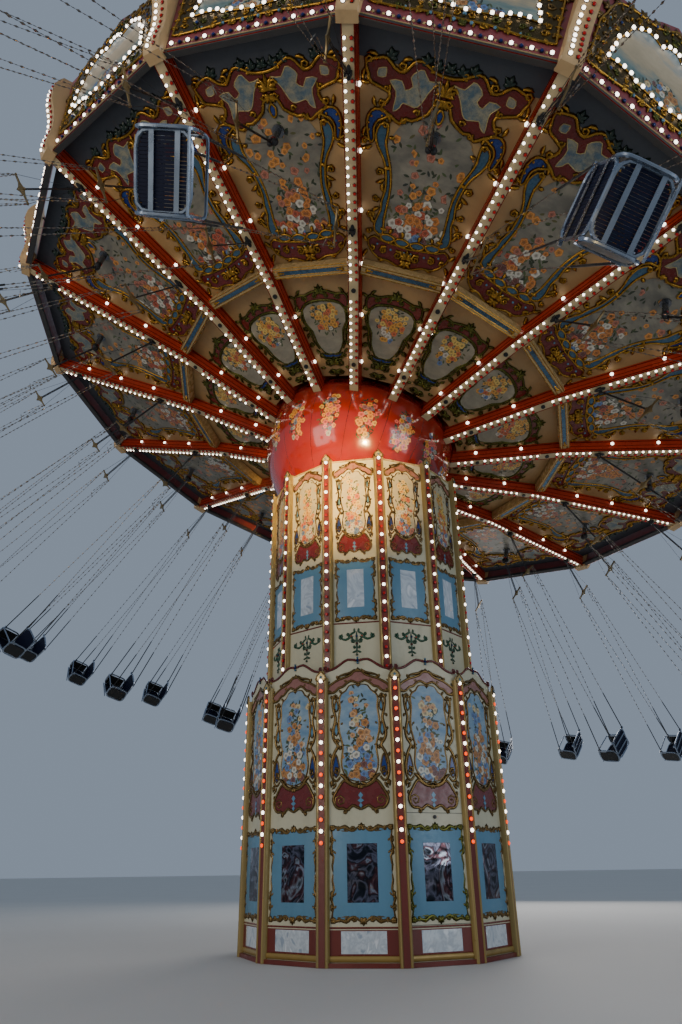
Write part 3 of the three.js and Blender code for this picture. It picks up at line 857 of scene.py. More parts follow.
def bulbs(points, material, body, name, radius=0.027):
    """Lamps at the points, each (matrix of the face, x, y, z), as a piece; their sockets are given back."""
    lamp = ball((0, 0, 0.010), radius, 0.85, 6, 3)
    holder = rod((0, 0, -0.004), (0, 0, 0.006), radius * 1.25, 5)
    places = [face @ Matrix.Translation((x, y, z)) for face, x, y, z in points]
    piece(name, gathered([lamp], places), body, material)
    return gathered([holder], places)


def upright(profile, foot, top):
    """A post from its outline in (x, z), standing up the face."""
    mesh = plate(profile, top - foot)
    mesh.transform(Matrix(((-1, 0, 0, 0), (0, 0, 1, foot), (0, 1, 0, 0), (0, 0, 0, 1))))
    return mesh


def mirror(half, foot, top, back):
    """A thin mirror on a face, its edges broken."""
    return box((-half, foot, back), (half, top, back + MIRROR_THICK), MIRROR_THICK / 2)


def half_round(y0, y1, proud, wide, foot=0.0):
    """A rounded moulding across a face between two heights."""
    middle, half = (y0 + y1) / 2, (y1 - y0) / 2
    arc = [(middle + half * math.cos(t), foot + proud * math.sin(t)) for t in np.linspace(0, math.pi, 6)]
    return moulding(arc, wide)


# Tower

PANEL_HALF = 0.466
CREST_LINE = ((PANEL_HALF, LOWER_TOP), (0.440, 3.290), (0.330, 3.340), (0.200, 3.410), (0.090, 3.460),
              (0.0, 3.480))


def tower_posts(name, phase, radius, foot, top, tie, body, node, first, rows):
    """The corner posts with their gilt edges and red strip, the ring at their feet, and their lamps."""
    corners = corners_of(phase, radius)
    half, deep = POST_WIDE / 2, POST_DEEP
    edges = upright([(-half, -0.022), (half, -0.022), (half, 0.036), (0.064, deep - 0.004), (0.054, deep),
                     (0.046, deep - 0.006), (0.040, 0.042), (-0.040, 0.042), (-0.046, deep - 0.006),
                     (-0.054, deep), (-0.064, deep - 0.004), (-half, 0.036)], foot, top)
    strip = upright(rectangle(STRIP_HALF, STRIP_BACK, STRIP_FRONT), foot, top - 0.01)
    piece(name + "_edges", gathered([edges], corners), body, post_cream, replaces=[node])
    ring = collar(radius - TIE_IN, radius + TIE_OUT, *tie, SIDES, phase + HALF_SIDE)
    piece(name + "_strips", gathered([gathered([strip], corners), ring]), body, brick_paint)
    holders = []
    for material, tag, start, step in rows:
        count = int((first - start - foot - LAMP_MARGIN) / (BULB_PITCH * step)) + 1
        heights = [first - start - i * BULB_PITCH * step for i in range(count)]
        points = [(corner, 0, z, STRIP_FRONT) for corner in corners for z in heights if z > LOWEST_LAMP]
        holders.append(bulbs(points, material, body, f"{name}_{tag}_lamps"))
    piece(name + "_sockets", gathered(holders), body, socket_metal)


def window_boards(storey, board, faces, body):
    boards = gathered([plate(rectangle(*board), BOARD_THICK, 0.0, 0.002)], faces)
    piece(storey + "_window_boards", boards, body, blue_paint)


def mirrors(name, size, back, faces, body, finish):
    piece(name, gathered([mirror(*size, back)], faces), body, finish)


def lower_tower():
    """The scalloped panels with their lid, dado, foot rail, window boards and mirrors, and the posts."""
    faces = faces_of(LOWER_PHASE, LOWER_FACE)
    wall = plate(mirrored([(PANEL_HALF, 0.0), *CREST_LINE]), PANEL_THICK, -PANEL_THICK)
    lid = collar(LID_IN, LID_OUT, LOWER_TOP - LID_THICK, LOWER_TOP, SIDES, LOWER_PHASE + HALF_SIDE)
    piece("lower_panels", gathered([gathered([wall], faces), lid]), "tower", cream_paint,
          replaces=["lower_tower_panels"])
    half, foot, top = DADO
    dado = box((-half, foot, 0.0), (half, top, DADO_THICK))
    piece("dado_boards", gathered([dado], faces), "tower", brick_paint)
    lines = [half_round(0.377, 0.397, 0.010, 2 * FACE_HALF), half_round(0.112, 0.124, 0.008, 2 * FACE_HALF)]
    piece("dado_lines", gathered([tinted(m, BRICK) for m in lines], faces), "tower", carved)
    rail = [half_round(0.050, 0.116, 0.022, 2 * FACE_HALF)]
    piece("foot_rails", gathered(rail, faces), "tower", rail_wood)
    window_boards("lower", LOWER_BOARD, faces, "tower")
    mirrors("lower_window_mirrors", LOWER_MIRROR, BOARD_THICK, faces, "tower", mirror_painted_dark_reflections)
    mirrors("dado_mirrors", DADO_MIRROR, DADO_THICK, faces, "tower", pale_reflection_mirror)
    tower_posts("lower_posts", LOWER_PHASE, LOWER_R, 0.0, LOWER_POST_TOP, (0.0, 0.046), "tower",
                "lower_tower_posts", 3.190, ((white_bulb, "white", 0.0, 2),
                                             (amber_bulb, "amber", BULB_PITCH, 2)))


def upper_tower():
    """The panels of the storey that rises, with window boards, mirrors and mouldings, and the posts."""
    faces = faces_of(UPPER_PHASE, UPPER_FACE)
    half = UPPER_R * math.sin(HALF_SIDE)
    wall = plate(rectangle(half, UPPER_PANEL_FOOT, UPPER_TOP), PANEL_THICK, -PANEL_THICK)
    piece("upper_panels", gathered([wall], faces), "lift", cream_paint,
          replaces=["upper_tower_panels"])
    window_boards("upper", UPPER_BOARD, faces, "lift")
    mirrors("upper_window_mirrors", UPPER_MIRROR, BOARD_THICK, faces, "lift", pale_reflection_mirror)
    lines = [tinted(half_round(4.044, 4.064, 0.010, 0.64), BRICK),
             tinted(half_round(UPPER_TOP - 0.030, UPPER_TOP, 0.014, 0.66), CREAM_GOLD)]
    piece("upper_lines", gathered(lines, faces), "lift", carved)
    tower_posts("upper_posts", UPPER_PHASE, UPPER_R, UPPER_FOOT, UPPER_POST_TOP, (UPPER_FOOT, 2.955), "lift",
                "upper_tower_posts", 6.620, ((white_bulb, "white", 0.0, 2), (red_bulb, "red", BULB_PITCH, 2)))


# Crown

def hub_bowl():
    """The lacquered bowl under the hub, with its seams and painted bouquets."""
    map_radius = 1.5
    bunch_half, bunch_tall, bunch_drop = 0.155, 0.34, 0.74
    outline = [(1.000, -1.550), (1.130, -1.465), (1.250, -1.350), (1.370, -1.205), (1.460, -1.040),
               (1.530, -0.880), (1.580, -0.700), (1.598, -0.570), (1.600, -0.450), (1.600, -0.045)]
    inner = [(r - 0.02, z + 0.008) for r, z in reversed(outline)]
    mesh = turned([*outline, *inner, outline[0]], 64, RIB_PHASE)
    layer = mesh.uv_layers.new(name="canvas")
    for polygon in mesh.polygons:
        middle = math.atan2(polygon.center.x, -polygon.center.y)
        for i in polygon.loop_indices:
            co = mesh.vertices[mesh.loops[i].vertex_index].co
            a = math.atan2(co.x, -co.y)
            a += TURN * round((middle - a) / TURN)
            layer.data[i].uv = ((a - RIB_PHASE) * map_radius, co.z)
    mesh.transform(CROWN)
    pitch = SECTOR * map_radius

    def bunch(f, place):
        x, y, _ = f.parts(place)
        u = f.minus(f.calc("FLOORED_MODULO", x, pitch), pitch / 2)
        u = f.over(u, bunch_half)
        v = f.over(f.plus(y, bunch_drop), bunch_tall)
        return f.minus(1.3, f.squares(u, v), clamp=True)

    def lacquer(f, place):
        x = f.parts(place)[0]
        seam = f.calc("LESS_THAN", f.calc("FLOORED_MODULO", x, pitch), 0.007)
        return f.mix(seam, f.mix(f.noise(2.0, 3, 0.6), shade("860c05"), shade("a31a0a")), shade("3a0a06"))

    f = bouquet("drum_lacquer", lacquer, bunch, 0.125, DRUM_ROSES, 0.16, numbered=False)
    f.set(coat_weight=0.7, coat_roughness=0.05)
    piece("hub_bowl", mesh, "crown", f.done(), replaces=["hub_drum"])
    bands = [turned([(1.603, -0.150), (1.618, -0.142), (1.618, -0.060), (1.603, -0.052), (1.603, -0.150)],
                    64), turned([(1.000, -1.560), (1.030, -1.545), (1.018, -1.528), (0.992, -1.540),
                                 (1.000, -1.560)], 48)]
    piece("bowl_bands", gathered([tinted(m, shade("8c1a10")) for m in bands], [CROWN]), "crown",
          carved)


def split_by_slope(mesh, low):
    """Faces that look down get the second finish."""
    indices = [1 if polygon.normal.z < low else 0 for polygon in mesh.polygons]
    mesh.polygons.foreach_set("material_index", indices)
    return mesh


def rib_line(offset=0.0):
    """The ribs' underside, raised by the offset."""
    return [(r, rib_z(r) + offset) for r in (RIB_IN, RIB_BEND, RIB_OUT)]


def radial(points, wide, foot=None):
    """A slab standing on the radius at azimuth 0, from its outline in (radius, height)."""
    mesh = plate(points, wide, -wide / 2 if foot is None else foot)
    mesh.transform(Matrix(((0, 0, -1, 0), (-1, 0, 0, 0), (0, 1, 0, 0), (0, 0, 0, 1))))
    return mesh


def spun(angles):
    """The crown's frame, turned to each angle."""
    return [CROWN @ Matrix.Rotation(a, 4, "Z") for a in angles]


def crown_ribs():
    """Sixteen cranked ribs round the hub, red with pale undersides, and the lines along them."""
    top = [(r, z + RIB_DEEP) for r, z in rib_line()]
    inner = [(1.66, top[0][1] + 0.017), (1.66, 0.25), (1.30, 0.25), (1.30, -0.04), (RIB_IN, -0.04)]
    rib = split_by_slope(radial([*rib_line(), *reversed(top[1:]), *inner], RIB_WIDE), -0.6)
    hub = turned([(0, 0.3605), (1.26, 0.3605), (1.26, -0.04), (1.30, -0.04), (1.30, 0.42), (0, 0.42)], 32)
    piece("ribs", gathered([gathered([rib], spun(RIB_ANGLES)), gathered([hub], [CROWN])]),
          "crown", [rib_red, rib_cream], smooth=False, replaces=["crown_ribs"])
    side = []
    for sign in (-1, 1):
        for low, tall in ((0.030, 0.012), (0.105, 0.007), (0.190, 0.012)):
            line = [*rib_line(low), *reversed(rib_line(low + tall))]
            foot = sign * RIB_WIDE / 2 - (0 if sign > 0 else 0.004)
            side.append(tinted(radial(line, 0.004, foot), shade("6e1a0e")))
        edge = [*rib_line(-0.004), *reversed(rib_line(0.010))]
        side.append(tinted(radial(edge, 0.010, sign * 0.076 - 0.005), shade("8c2014")))
    piece("rib_lines", gathered(side, spun(RIB_ANGLES)), "crown", carved)


def rib_places(offset, radii):
    """Points on the ribs' underside, each (matrix with x across and z down, x, y, z)."""
    places = []
    for a in RIB_ANGLES:
        for r in radii:
            slope = (rib_z(r + 0.01) - rib_z(r - 0.01)) / 0.02
            out = polar(a, 1, slope).normalized()
            across = sideways(a)
            places.append(CROWN @ frame_at(across, out, across.cross(out), polar(a, r, rib_z(r))))
    return [(place, offset, 0.0, 0.0) for place in places]


def rib_lamps():
    """White and red lamps in two rows under every rib, a few on its sides, and black sockets between them."""
    pitch, clear = 0.108, 0.085
    taken = PIN_SOCKETS + ROUND_SOCKETS
    radii = [r for r in np.arange(1.74, 6.38, pitch) if all(abs(r - t) > clear for t in taken)]
    holders = [bulbs(rib_places(-0.042, radii), white_bulb, "crown", "rib_white_lamps", 0.022),
               bulbs(rib_places(0.042, radii), red_bulb, "crown", "rib_red_lamps", 0.023)]
    sides = []
    for a in RIB_ANGLES:
        for r in np.arange(2.0, 6.3, 0.75):
            for sign in (-1, 1):
                out = polar(a, 1)
                across = sideways(a) * sign
                at = polar(a, r, rib_z(r) + 0.148) + across * RIB_WIDE / 2
                sides.append((CROWN @ frame_at(out, across.cross(out), across, at), 0, 0, 0))
    holders.append(bulbs(sides, white_bulb, "crown", "rib_side_lamps", 0.032))
    piece("rib_sockets", gathered(holders), "crown", socket_metal)
    oval_socket = plate([(0.030 * math.cos(t), 0.085 * math.sin(t)) for t in np.linspace(0, TURN, 13)[:-1]],
                        0.028, 0.0, 0.006)
    small_socket = rod((0, 0, 0), (0, 0, 0.020), 0.034, 12)
    places = [place for place, *_ in rib_places(0.0, PIN_SOCKETS)]
    small = [place for place, *_ in rib_places(0.0, ROUND_SOCKETS)]
    piece("rib_hinge_sockets", gathered([gathered([oval_socket], places), gathered([small_socket], small)]),
          "crown", black_rubber)


def bay_faces(inner):
    """Faces of the ceiling's bays, y outwards and z down, and the radii of their two edges."""
    start, end = (CEILING_IN, RIB_BEND) if inner else (RIB_BEND, RIB_OUT)
    ends = [(r, rib_z(r) + RIB_DEEP) for r in (start, end)]
    return [crown_face(a, *ends) for a in BAY_ANGLES], start, end


def crown_ceiling():
    """The ceiling's sheets and the crossbars at their bend, with a painted strip and gilt rims."""
    sheets = []
    for inner in (True, False):
        faces, start, end = bay_faces(inner)
        rise = math.hypot((end - start) * FLAT, rib_z(end) - rib_z(start))
        narrow, wide = start * math.sin(SECTOR / 2), end * math.sin(SECTOR / 2)
        sheet = plate([(-narrow, 0), (narrow, 0), (wide, rise), (-wide, rise)], CEILING_THICK, -CEILING_SUNK)
        sheets.append(gathered([sheet], faces))
    piece("ceiling_boards", gathered(sheets), "crown", ceiling_cream, smooth=False,
          replaces=["crown_ceiling"])
    start, end = RIB_BEND, CROSSBAR_OUT
    half = start * math.sin(SECTOR / 2) - 0.08
    faces = [crown_face(a, (start, rib_z(start) + 0.06), (end, rib_z(end) + 0.06)) for a in BAY_ANGLES]
    beam = tinted(box((-half, 0.0, -0.150), (half, 0.167, 0.0)), shade("c4a873", 0.1))
    strip = tinted(box((-half + 0.10, 0.052, 0.0), (half - 0.10, 0.115, 0.003)), shade("56748c"))
    rims = [tinted(half_round(y, y + 0.014, 0.010, 2 * half), GILT) for y in (0.002, 0.040, 0.113, 0.151)]
    # The knobs get painted shade at their backs and a painted highlight on top.
    ends = [tinted(ball((s * (half - 0.09 - i * 0.035), 0.083, 0.004), 0.030 - 0.006 * i, 0.6), GILT, 0.3)
            for s in (-1, 1) for i in range(3)]
    piece("crossbars", gathered([beam, strip, *rims, *ends], faces), "crown", carved)


def cornice_faces():
    return [crown_face(a, CORNICE_FOOT, CORNICE_TOP) for a in BAY_ANGLES]


CORNICE_TALL = math.hypot((CORNICE_TOP[0] - CORNICE_FOOT[0]) * FLAT, CORNICE_TOP[1] - CORNICE_FOOT[1])


def crown_cornice():
    """The crested boards of the cornice, their grey edge, mouldings and lamps."""
    faces = cornice_faces()
    low, high = (r * math.sin(SECTOR / 2) for r in (CORNICE_FOOT[0], CORNICE_TOP[0]))
    crest = [(1.00, CORNICE_TALL + 0.03), (0.90, CORNICE_TALL + 0.09), (0.43, CORNICE_TALL + 0.13),
             (0.26, CORNICE_TALL + 0.25), (0.0, CORNICE_TALL + 0.37)]
    board = plate(mirrored([(low, 0.0), (high, CORNICE_TALL), *crest]), CORNICE_THICK, -CORNICE_SUNK)
    piece("cornice_boards", gathered([board], faces), "crown", wine_paint, smooth=False,
          replaces=["crown_cornice"])
    edge = [box((-low, -0.010, -0.075), (low, 0.055, 0.008), 0.004)]
    piece("cornice_edge", gathered(edge, faces), "crown", edge_grey)
    lines = [tinted(half_round(-0.004, 0.012, 0.012, 2 * low, 0.006), shade("8c2014")),
             tinted(half_round(0.050, 0.066, 0.014, 2 * low - 0.2, 0.002), CREAM_GOLD)]
    count, row_long, row_high = 19, 2 * low - 0.42, 0.135
    holders, places = [], {"white": [], "blue": []}
    for face in faces:
        for i in range(count):
            x = (i / (count - 1) - 0.5) * row_long
            places["white" if i % 2 == 0 else "blue"].append((face, x, row_high, 0.004))
    for tag, material, radius in (("white", white_bulb, 0.029), ("blue", blue_bulb, 0.024)):
        holders.append(bulbs(places[tag], material, "crown", f"cornice_{tag}_lamps", radius))
    piece("cornice_sockets", gathered(holders), "crown", socket_metal)
    beads = [tinted(ball((((i + 0.5) / (count - 1) - 0.5) * row_long, row_high, 0.0), 0.020, 0.6), CREAM_GOLD)
             for i in range(count - 1)]
    piece("cornice_lines", gathered([*lines, *beads], faces), "crown", carved)


PILASTER_LINE = ((6.4205, 0.800), (6.560, 0.800), (6.620, 0.900), (6.650, 1.020), (6.662, 1.150),
                 (6.690, 1.280), (6.770, 1.480), (6.900, 1.700), (6.960, 1.850), (6.985, 2.000),
                 (6.970, 2.120), (6.940, 2.210), (6.800, 2.262), (6.480, 1.130), (6.4205, 1.110))


def pilasters():
    """The curved posts between the cornice's panels, with two rows of lamps down their fronts."""
    body = radial(PILASTER_LINE, PILASTER_WIDE)
    piece("pilasters", gathered([body], spun(RIB_ANGLES)), "crown", pilaster_cream,
          smooth=False)
    front = PILASTER_LINE[1:12]
    lengths = [0.0]
    for (r0, z0), (r1, z1) in zip(front, front[1:]):
        lengths.append(lengths[-1] + math.hypot(r1 - r0, z1 - z0))
    first, pitch = 0.10, 0.098
    places = {-1: [], 1: []}
    for a in RIB_ANGLES:
        across = sideways(a)
        for s in np.arange(first, lengths[-1] - 0.08, pitch):
            i = max(j for j in range(len(front) - 1) if lengths[j] <= s)
            t = (s - lengths[i]) / (lengths[i + 1] - lengths[i])
            (r0, z0), (r1, z1) = front[i], front[i + 1]
            up = polar(a, r1 - r0, z1 - z0).normalized()
            at = polar(a, r0 + (r1 - r0) * t, z0 + (z1 - z0) * t)
            face = CROWN @ frame_at(across, up, across.cross(up), at)
            for side in (-1, 1):
                places[side].append((face, side * 0.050, 0.0, 0.0))
    holders = [bulbs(places[-1], white_bulb, "crown", "pilaster_white_lamps"),
               bulbs(places[1], red_bulb, "crown", "pilaster_red_lamps", 0.024)]
    piece("pilaster_sockets", gathered(holders), "crown", socket_metal)


def roof_trim():
    """Battens over the joints of the roof, a curb and a cap at its middle, and struts to the cornice."""
    rise = math.hypot(ROOF_EDGE[0] - ROOF_TOP[0], ROOF_TOP[1] - ROOF_EDGE[1])
    corners = [crown_face(a, (ROOF_EDGE[0] / FLAT, ROOF_EDGE[1]), (ROOF_TOP[0] / FLAT, ROOF_TOP[1]))
               for a in RIB_ANGLES]
    middles = [crown_face(a, ROOF_EDGE, ROOF_TOP) for a in BAY_ANGLES]
    battens = gathered([box((-0.022, 0.0, -0.006), (0.022, rise, 0.020), 0.004)], corners)
    seams = gathered([box((-0.008, 0.0, -0.006), (0.008, rise - 0.03, 0.006))], middles)
    piece("roof_battens", gathered([battens, seams]), "crown", shadow_and_batten_grey)
    curb = turned([(0.860, 2.300), (0.950, 2.288), (0.950, 2.336), (0.860, 2.346), (0.860, 2.300)], RIBS,
                  RIB_PHASE)
    cap = rod((0, 0, 2.315), (0, 0, 2.400), 0.300, 24, 0.240)
    struts = [rod(polar(a, 6.020, 1.580), polar(a, 6.750, 2.100), 0.019, 6) for a in RIB_ANGLES]
    piece("roof_fittings", gathered([curb, cap, *struts], [CROWN]), "crown", frame_grey)


def middle_hangers():
    """Posts and red caps for the middle row under the ceiling, and every swing's pin and black knuckle."""
    meshes, knobs, caps = [], [], []
    for name, joint in JOINTS.items():
        if not name.startswith("swing_"):
            continue
        pin = CROWN.inverted() @ Vector(joint["pos_m"])
        a = math.atan2(pin.x, -pin.y)
        r = math.hypot(pin.x, pin.y)
        turn = CROWN @ frame_at(sideways(a), -polar(a, 1), Vector((0, 0, 1)), pin)
        if "middle" in name:
            roof = rib_z(r / FLAT) + RIB_DEEP - pin.z
            meshes.append(gathered([rod((0, 0, 0.045), (0, 0, roof), 0.045, 12),
                                    rod((0, 0, roof - 0.03), (0, 0, roof), 0.085, 12)], [turn]))
            knobs.append(gathered([ball((s * 0.032, 0, 0.012), 0.046, 1.35, 10, 8) for s in (-1, 1)], [turn]))
            caps.append(gathered([ball((0, 0, 0.064), 0.05, 0.5, 10, 6)], [turn]))
        else:
            knobs.append(gathered([box((s * 0.036 - 0.008, -0.026, -0.026), (s * 0.036 + 0.008, 0.026, 0.060),
                                       0.005) for s in (-1, 1)], [turn]))
        meshes.append(gathered([rod((-0.045, 0, 0), (0.045, 0, 0), 0.010, 8)], [turn]))
    piece("middle_hangers", gathered(meshes), "crown",
          bright_metal("hanger_steel", shade("7a7c80")))
    piece("hinge_knuckles", gathered(knobs), "crown", black_rubber)
    piece("hinge_caps", gathered([tinted(m, shade("8c1410")) for m in caps]), "crown", carved)


# Swings

# By row, the flight from the plumb line in degrees and how much higher its chairs hang than the outer ones.
# The leaning crown draws the flight outwards and sideways, by the X and Y of the radius.
FLIGHT = {"outer": (54.5, 0.0), "middle": (53.5, 0.137), "inner": (46.0, 0.368)}
OUT_DRIFT, ALONG_DRIFT = Vector((-2.0, -2.0, 0)), Vector((-2.0, 11.5, 0))


def swing_place(name):
    """The frame of a flown swing, at its pin: x away from the ride, y forwards and z up the hanger."""
    pin = Vector(JOINTS[name]["pos_m"])
    local = CROWN.inverted() @ pin
    a = math.atan2(local.x, -local.y)
    turn = CROWN.to_3x3()
    level = turn @ polar(a, 1)
    level.z = 0
    level.normalize()
    out = math.radians(FLIGHT[name.split("_")[1]][0] + OUT_DRIFT.dot(level))
    along = math.radians(ALONG_DRIFT.dot(level))
    flown = level * math.sin(out) - Vector((0, 0, math.cos(out)))
    flown = flown * math.cos(along) + Vector((-level.y, level.x, 0)) * math.sin(along)
    swing = (turn @ Vector((0, 0, -1))).rotation_difference(flown).to_matrix()
    spin = Matrix.Rotation(a - math.pi / 2, 3, "Z")
    return Matrix.Translation(pin) @ (swing @ turn @ spin).to_4x4()


def chain(start, end, sag=0.0):
    """Links in turn across each other from start to end."""
    start, end = Vector(start), Vector(end)
    count = max(2, round((end - start).length / CHAIN_PITCH))
    step = (end - start) / count
    wide, thick, reach = 0.0115, 0.0045, CHAIN_PITCH * 0.62

    def link(bm):
        bmesh.ops.create_uvsphere(bm, u_segments=4, v_segments=2, radius=1)
        bmesh.ops.scale(bm, vec=(wide, thick, reach), verts=bm.verts)

    one = shape(link)
    aim = Vector((0, 0, 1)).rotation_difference(step).to_matrix().to_4x4()
    places = []
    for i in range(count):
        t = (i + 0.5) / count
        at = start + step * (i + 0.5) + Vector((0, 0, -sag * 4 * t * (1 - t)))
        places.append(Matrix.Translation(at) @ aim @ Matrix.Rotation((i % 2) * math.pi / 2, 4, "Z"))
    return gathered([one], places)


def rounded(points, radius):
    """A polyline in space with its inner corners rounded."""
    steps = 3
    path = [Vector(points[0])]
    for before, corner, after in zip(points, points[1:], points[2:]):
        before, corner, after = Vector(before), Vector(corner), Vector(after)
        a = corner + (before - corner).normalized() * radius
        b = corner + (after - corner).normalized() * radius
        for i in range(steps + 1):
            t = i / steps
            path.append((1 - t) ** 2 * a + 2 * t * (1 - t) * corner + t * t * b)
    path.append(Vector(points[-1]))
    return path


def loop_path(points, radius):
    """A closed rounded outline, closed again by its first point."""
    path = rounded([points[-1], *points, points[0]], radius)[1:-1]
    return path + path[:1]


def tube(path, radius):
    """A path and its even radii, for tubes_of."""
    return [tuple(p) for p in path], [radius] * len(path)


def hanger_parts(raised):
    """Rods, spreader, chains with their black sleeves, and the slack safety chains."""
    dark, bronze, sleeve, links = [], [], [], []
    for y in (-0.012, 0.012):
        dark.append(rod((0, y, -0.018), (0, y, SPREADER_Z + 0.05), 0.0085, 6))
    dark.append(rod((0, -0.020, 0.0), (0, 0.020, 0.0), 0.021, 10))
    dark.append(rod((0, 0, -0.03), (0, 0, 0.0), 0.018, 8))
    tip = SPREADER_HALF - 0.008
    for side in (-1, 1):
        dark.append(rod((side * 0.012, 0, -0.05), (side * tip, 0, SPREADER_Z + 0.006), 0.0035, 4))
    star = [(0.0, SPREADER_Z + 0.055), (0.030, SPREADER_Z + 0.032), (0.10, SPREADER_Z + 0.014),
            (tip, SPREADER_Z + 0.012), (tip + 0.010, SPREADER_Z), (tip, SPREADER_Z - 0.013),
            (0.10, SPREADER_Z - 0.016), (0.035, SPREADER_Z - 0.040), (0.0, SPREADER_Z - 0.075)]
    gusset = plate(mirrored(star), 0.020, -0.010, 0.003)
    gusset.transform(Matrix.Rotation(math.pi / 2, 4, "X"))
    bronze.append(gusset)
    bronze.append(rod((0, -0.020, SPREADER_Z + 0.03), (0, 0.020, SPREADER_Z + 0.03), 0.020, 8))
    for side in (-1, 1):
        bronze.append(rod((side * tip, -0.016, SPREADER_Z), (side * tip, 0.016, SPREADER_Z), 0.015, 6))
        for y, z in ((FRONT_CHAIN_Y, ARM_Z + 0.004), (BACK_TOP_Y + 0.002, BACK_TOP_Z - 0.012)):
            end = Vector((side * (CHAIR_HALF if y > 0 else CHAIR_HALF - 0.012), y, z + raised))
            start = Vector((side * tip, 0.008 * (1 if y > 0 else -1), SPREADER_Z - 0.008))
            middle = end + (start - end).normalized() * SLEEVE_LONG
            links.append(chain(start, middle))
            sleeve.append(rod(end, middle, SLEEVE_R, 6, SLEEVE_R - 0.001))
        knot = (side * 0.160, 0.02, SPREADER_Z - 0.42)
        links.append(chain((side * 0.205, 0.02, SPREADER_Z - 0.02), knot, sag=-0.03))
        links.append(chain((side * 0.245, -0.01, SPREADER_Z - 0.46), knot, sag=0.05))
    return dark, bronze, sleeve, links


def chair_parts(raised):
    """Round-tube frames, pale straps, navy woven seat and back, and the dark cloth under the arms."""
    half, inner = CHAIR_HALF, CHAIR_HALF - 0.014
    seat, arm = SEAT_Z + raised, ARM_Z + raised
    rear, front = -0.205, FRONT_Y - 0.016
    lean = Vector((0, BACK_TOP_Y - rear, BACK_TOP_Z - SEAT_Z))
    rise = lean.length
    back = frame_at(Vector((1, 0, 0)), lean.normalized(), Vector((1, 0, 0)).cross(lean.normalized()),
                    Vector((0, rear, seat)))
    side_hoop = [tube(loop_path([(x, rear - 0.010, seat - 0.030), (x, front, seat - 0.030), (x, front, arm),
                                 (x, rear - 0.010, arm)], SIDE_CORNER), TUBE_R) for x in (-half, half)]
    seat_hoop = [tube(loop_path([(-inner, rear, seat), (inner, rear, seat), (inner, front, seat),
                                 (-inner, front, seat)], SEAT_CORNER), TUBE_R)]
    outline = loop_path([(-inner, 0.01, 0), (inner, 0.01, 0), (inner, rise, 0), (-inner, rise, 0)],
                        SEAT_CORNER)
    back_hoop = [tube([back @ p for p in outline], TUBE_R)]
    bars = [tube(rounded([(-half, front - 0.02, arm - 0.09), (-half, front + 0.012, arm - 0.012),
                          (half, front + 0.012, arm - 0.012), (half, front - 0.02, arm - 0.09)], 0.05),
                 0.012), tube([Vector((-half, front, seat - 0.046)), Vector((half, front, seat - 0.046))],
                              0.011)]
    metal = [tubes_of(side_hoop + seat_hoop + back_hoop + bars, 1)]
    for x in (-half, half):
        for y, z in ((FRONT_CHAIN_Y, arm), (BACK_TOP_Y + 0.012, BACK_TOP_Z + raised - 0.02)):
            metal.append(box((x - 0.021, y - 0.016, z - 0.020), (x + 0.021, y + 0.016, z + 0.020)))
    straps = [box((-inner, y - STRAP_HALF, -0.017), (inner, y + STRAP_HALF, -0.012)) for y in (-0.085, 0.105)]
    metal.append(gathered(straps, [Matrix.Translation((0, 0, seat))]))
    straps = [box((-inner, y - STRAP_HALF, 0.012), (inner, y + STRAP_HALF, 0.017)) for y in (0.16, 0.33)]
    metal.append(gathered(straps, [back]))
    weave = []
    for i in range(WEAVE_RIBS):
        x0, x1 = ((2 * k / WEAVE_RIBS - 1) * (inner - 0.012) for k in (i, i + 0.86))
        cut = 0.10 * (abs(x0 + x1) / (2 * inner)) ** 5
        weave.append(box((x0, rear + 0.014 + cut, seat - 0.004), (x1, front - 0.012 - cut, seat + 0.005)))
        weave.append(gathered([box((x0, 0.03 + cut, -0.004), (x1, rise - 0.012 - cut, 0.005))], [back]))
    cloth = [box((x - 0.003, rear + 0.02, seat - 0.010), (x + 0.003, front - 0.02, arm - 0.035))
             for x in (-half, half)]
    return metal, weave, cloth


def navy_weave():
    """Navy woven plastic with fine threads across its ribs."""
    f = Finish("navy_weave")
    thread = f.node("TexNoise", vector=f.scaled(f.object, (90, 90, 90)), scale=1.0, detail=2.0).outputs[0]
    f.set(base_color=f.mix(f.noise(7, 3), f.mix(thread, shade("070b1c"), shade("131f44")), shade("0b1128")),
          roughness=0.6, specular=0.2)
    f.bump(thread, 0.3, 0.001)
    return f.done()


def swings():
    """Every swing as one piece on its own body: a row's swing is made once and set in each place."""
    finishes = [tube_metal, navy_weave(), black_rubber, bright_metal("hanger_rod", shade("3c3a38"), 0.4),
                bronze_metal, black_rubber, chain_metal]
    for row, (_, raised) in FLIGHT.items():
        parts = []
        for index, group in enumerate((*chair_parts(raised), *hanger_parts(raised))):
            mesh = gathered(group)
            mesh.polygons.foreach_set("material_index", [index] * len(mesh.polygons))
            parts.append(mesh)
        whole = gathered(parts)
        for name in JOINTS:
            if name.startswith("swing_" + row):
                mesh = gathered([whole], [swing_place(name)])
                piece(name + "_made", mesh, name.replace("_", " "), finishes, replaces=[name])


# Carvings

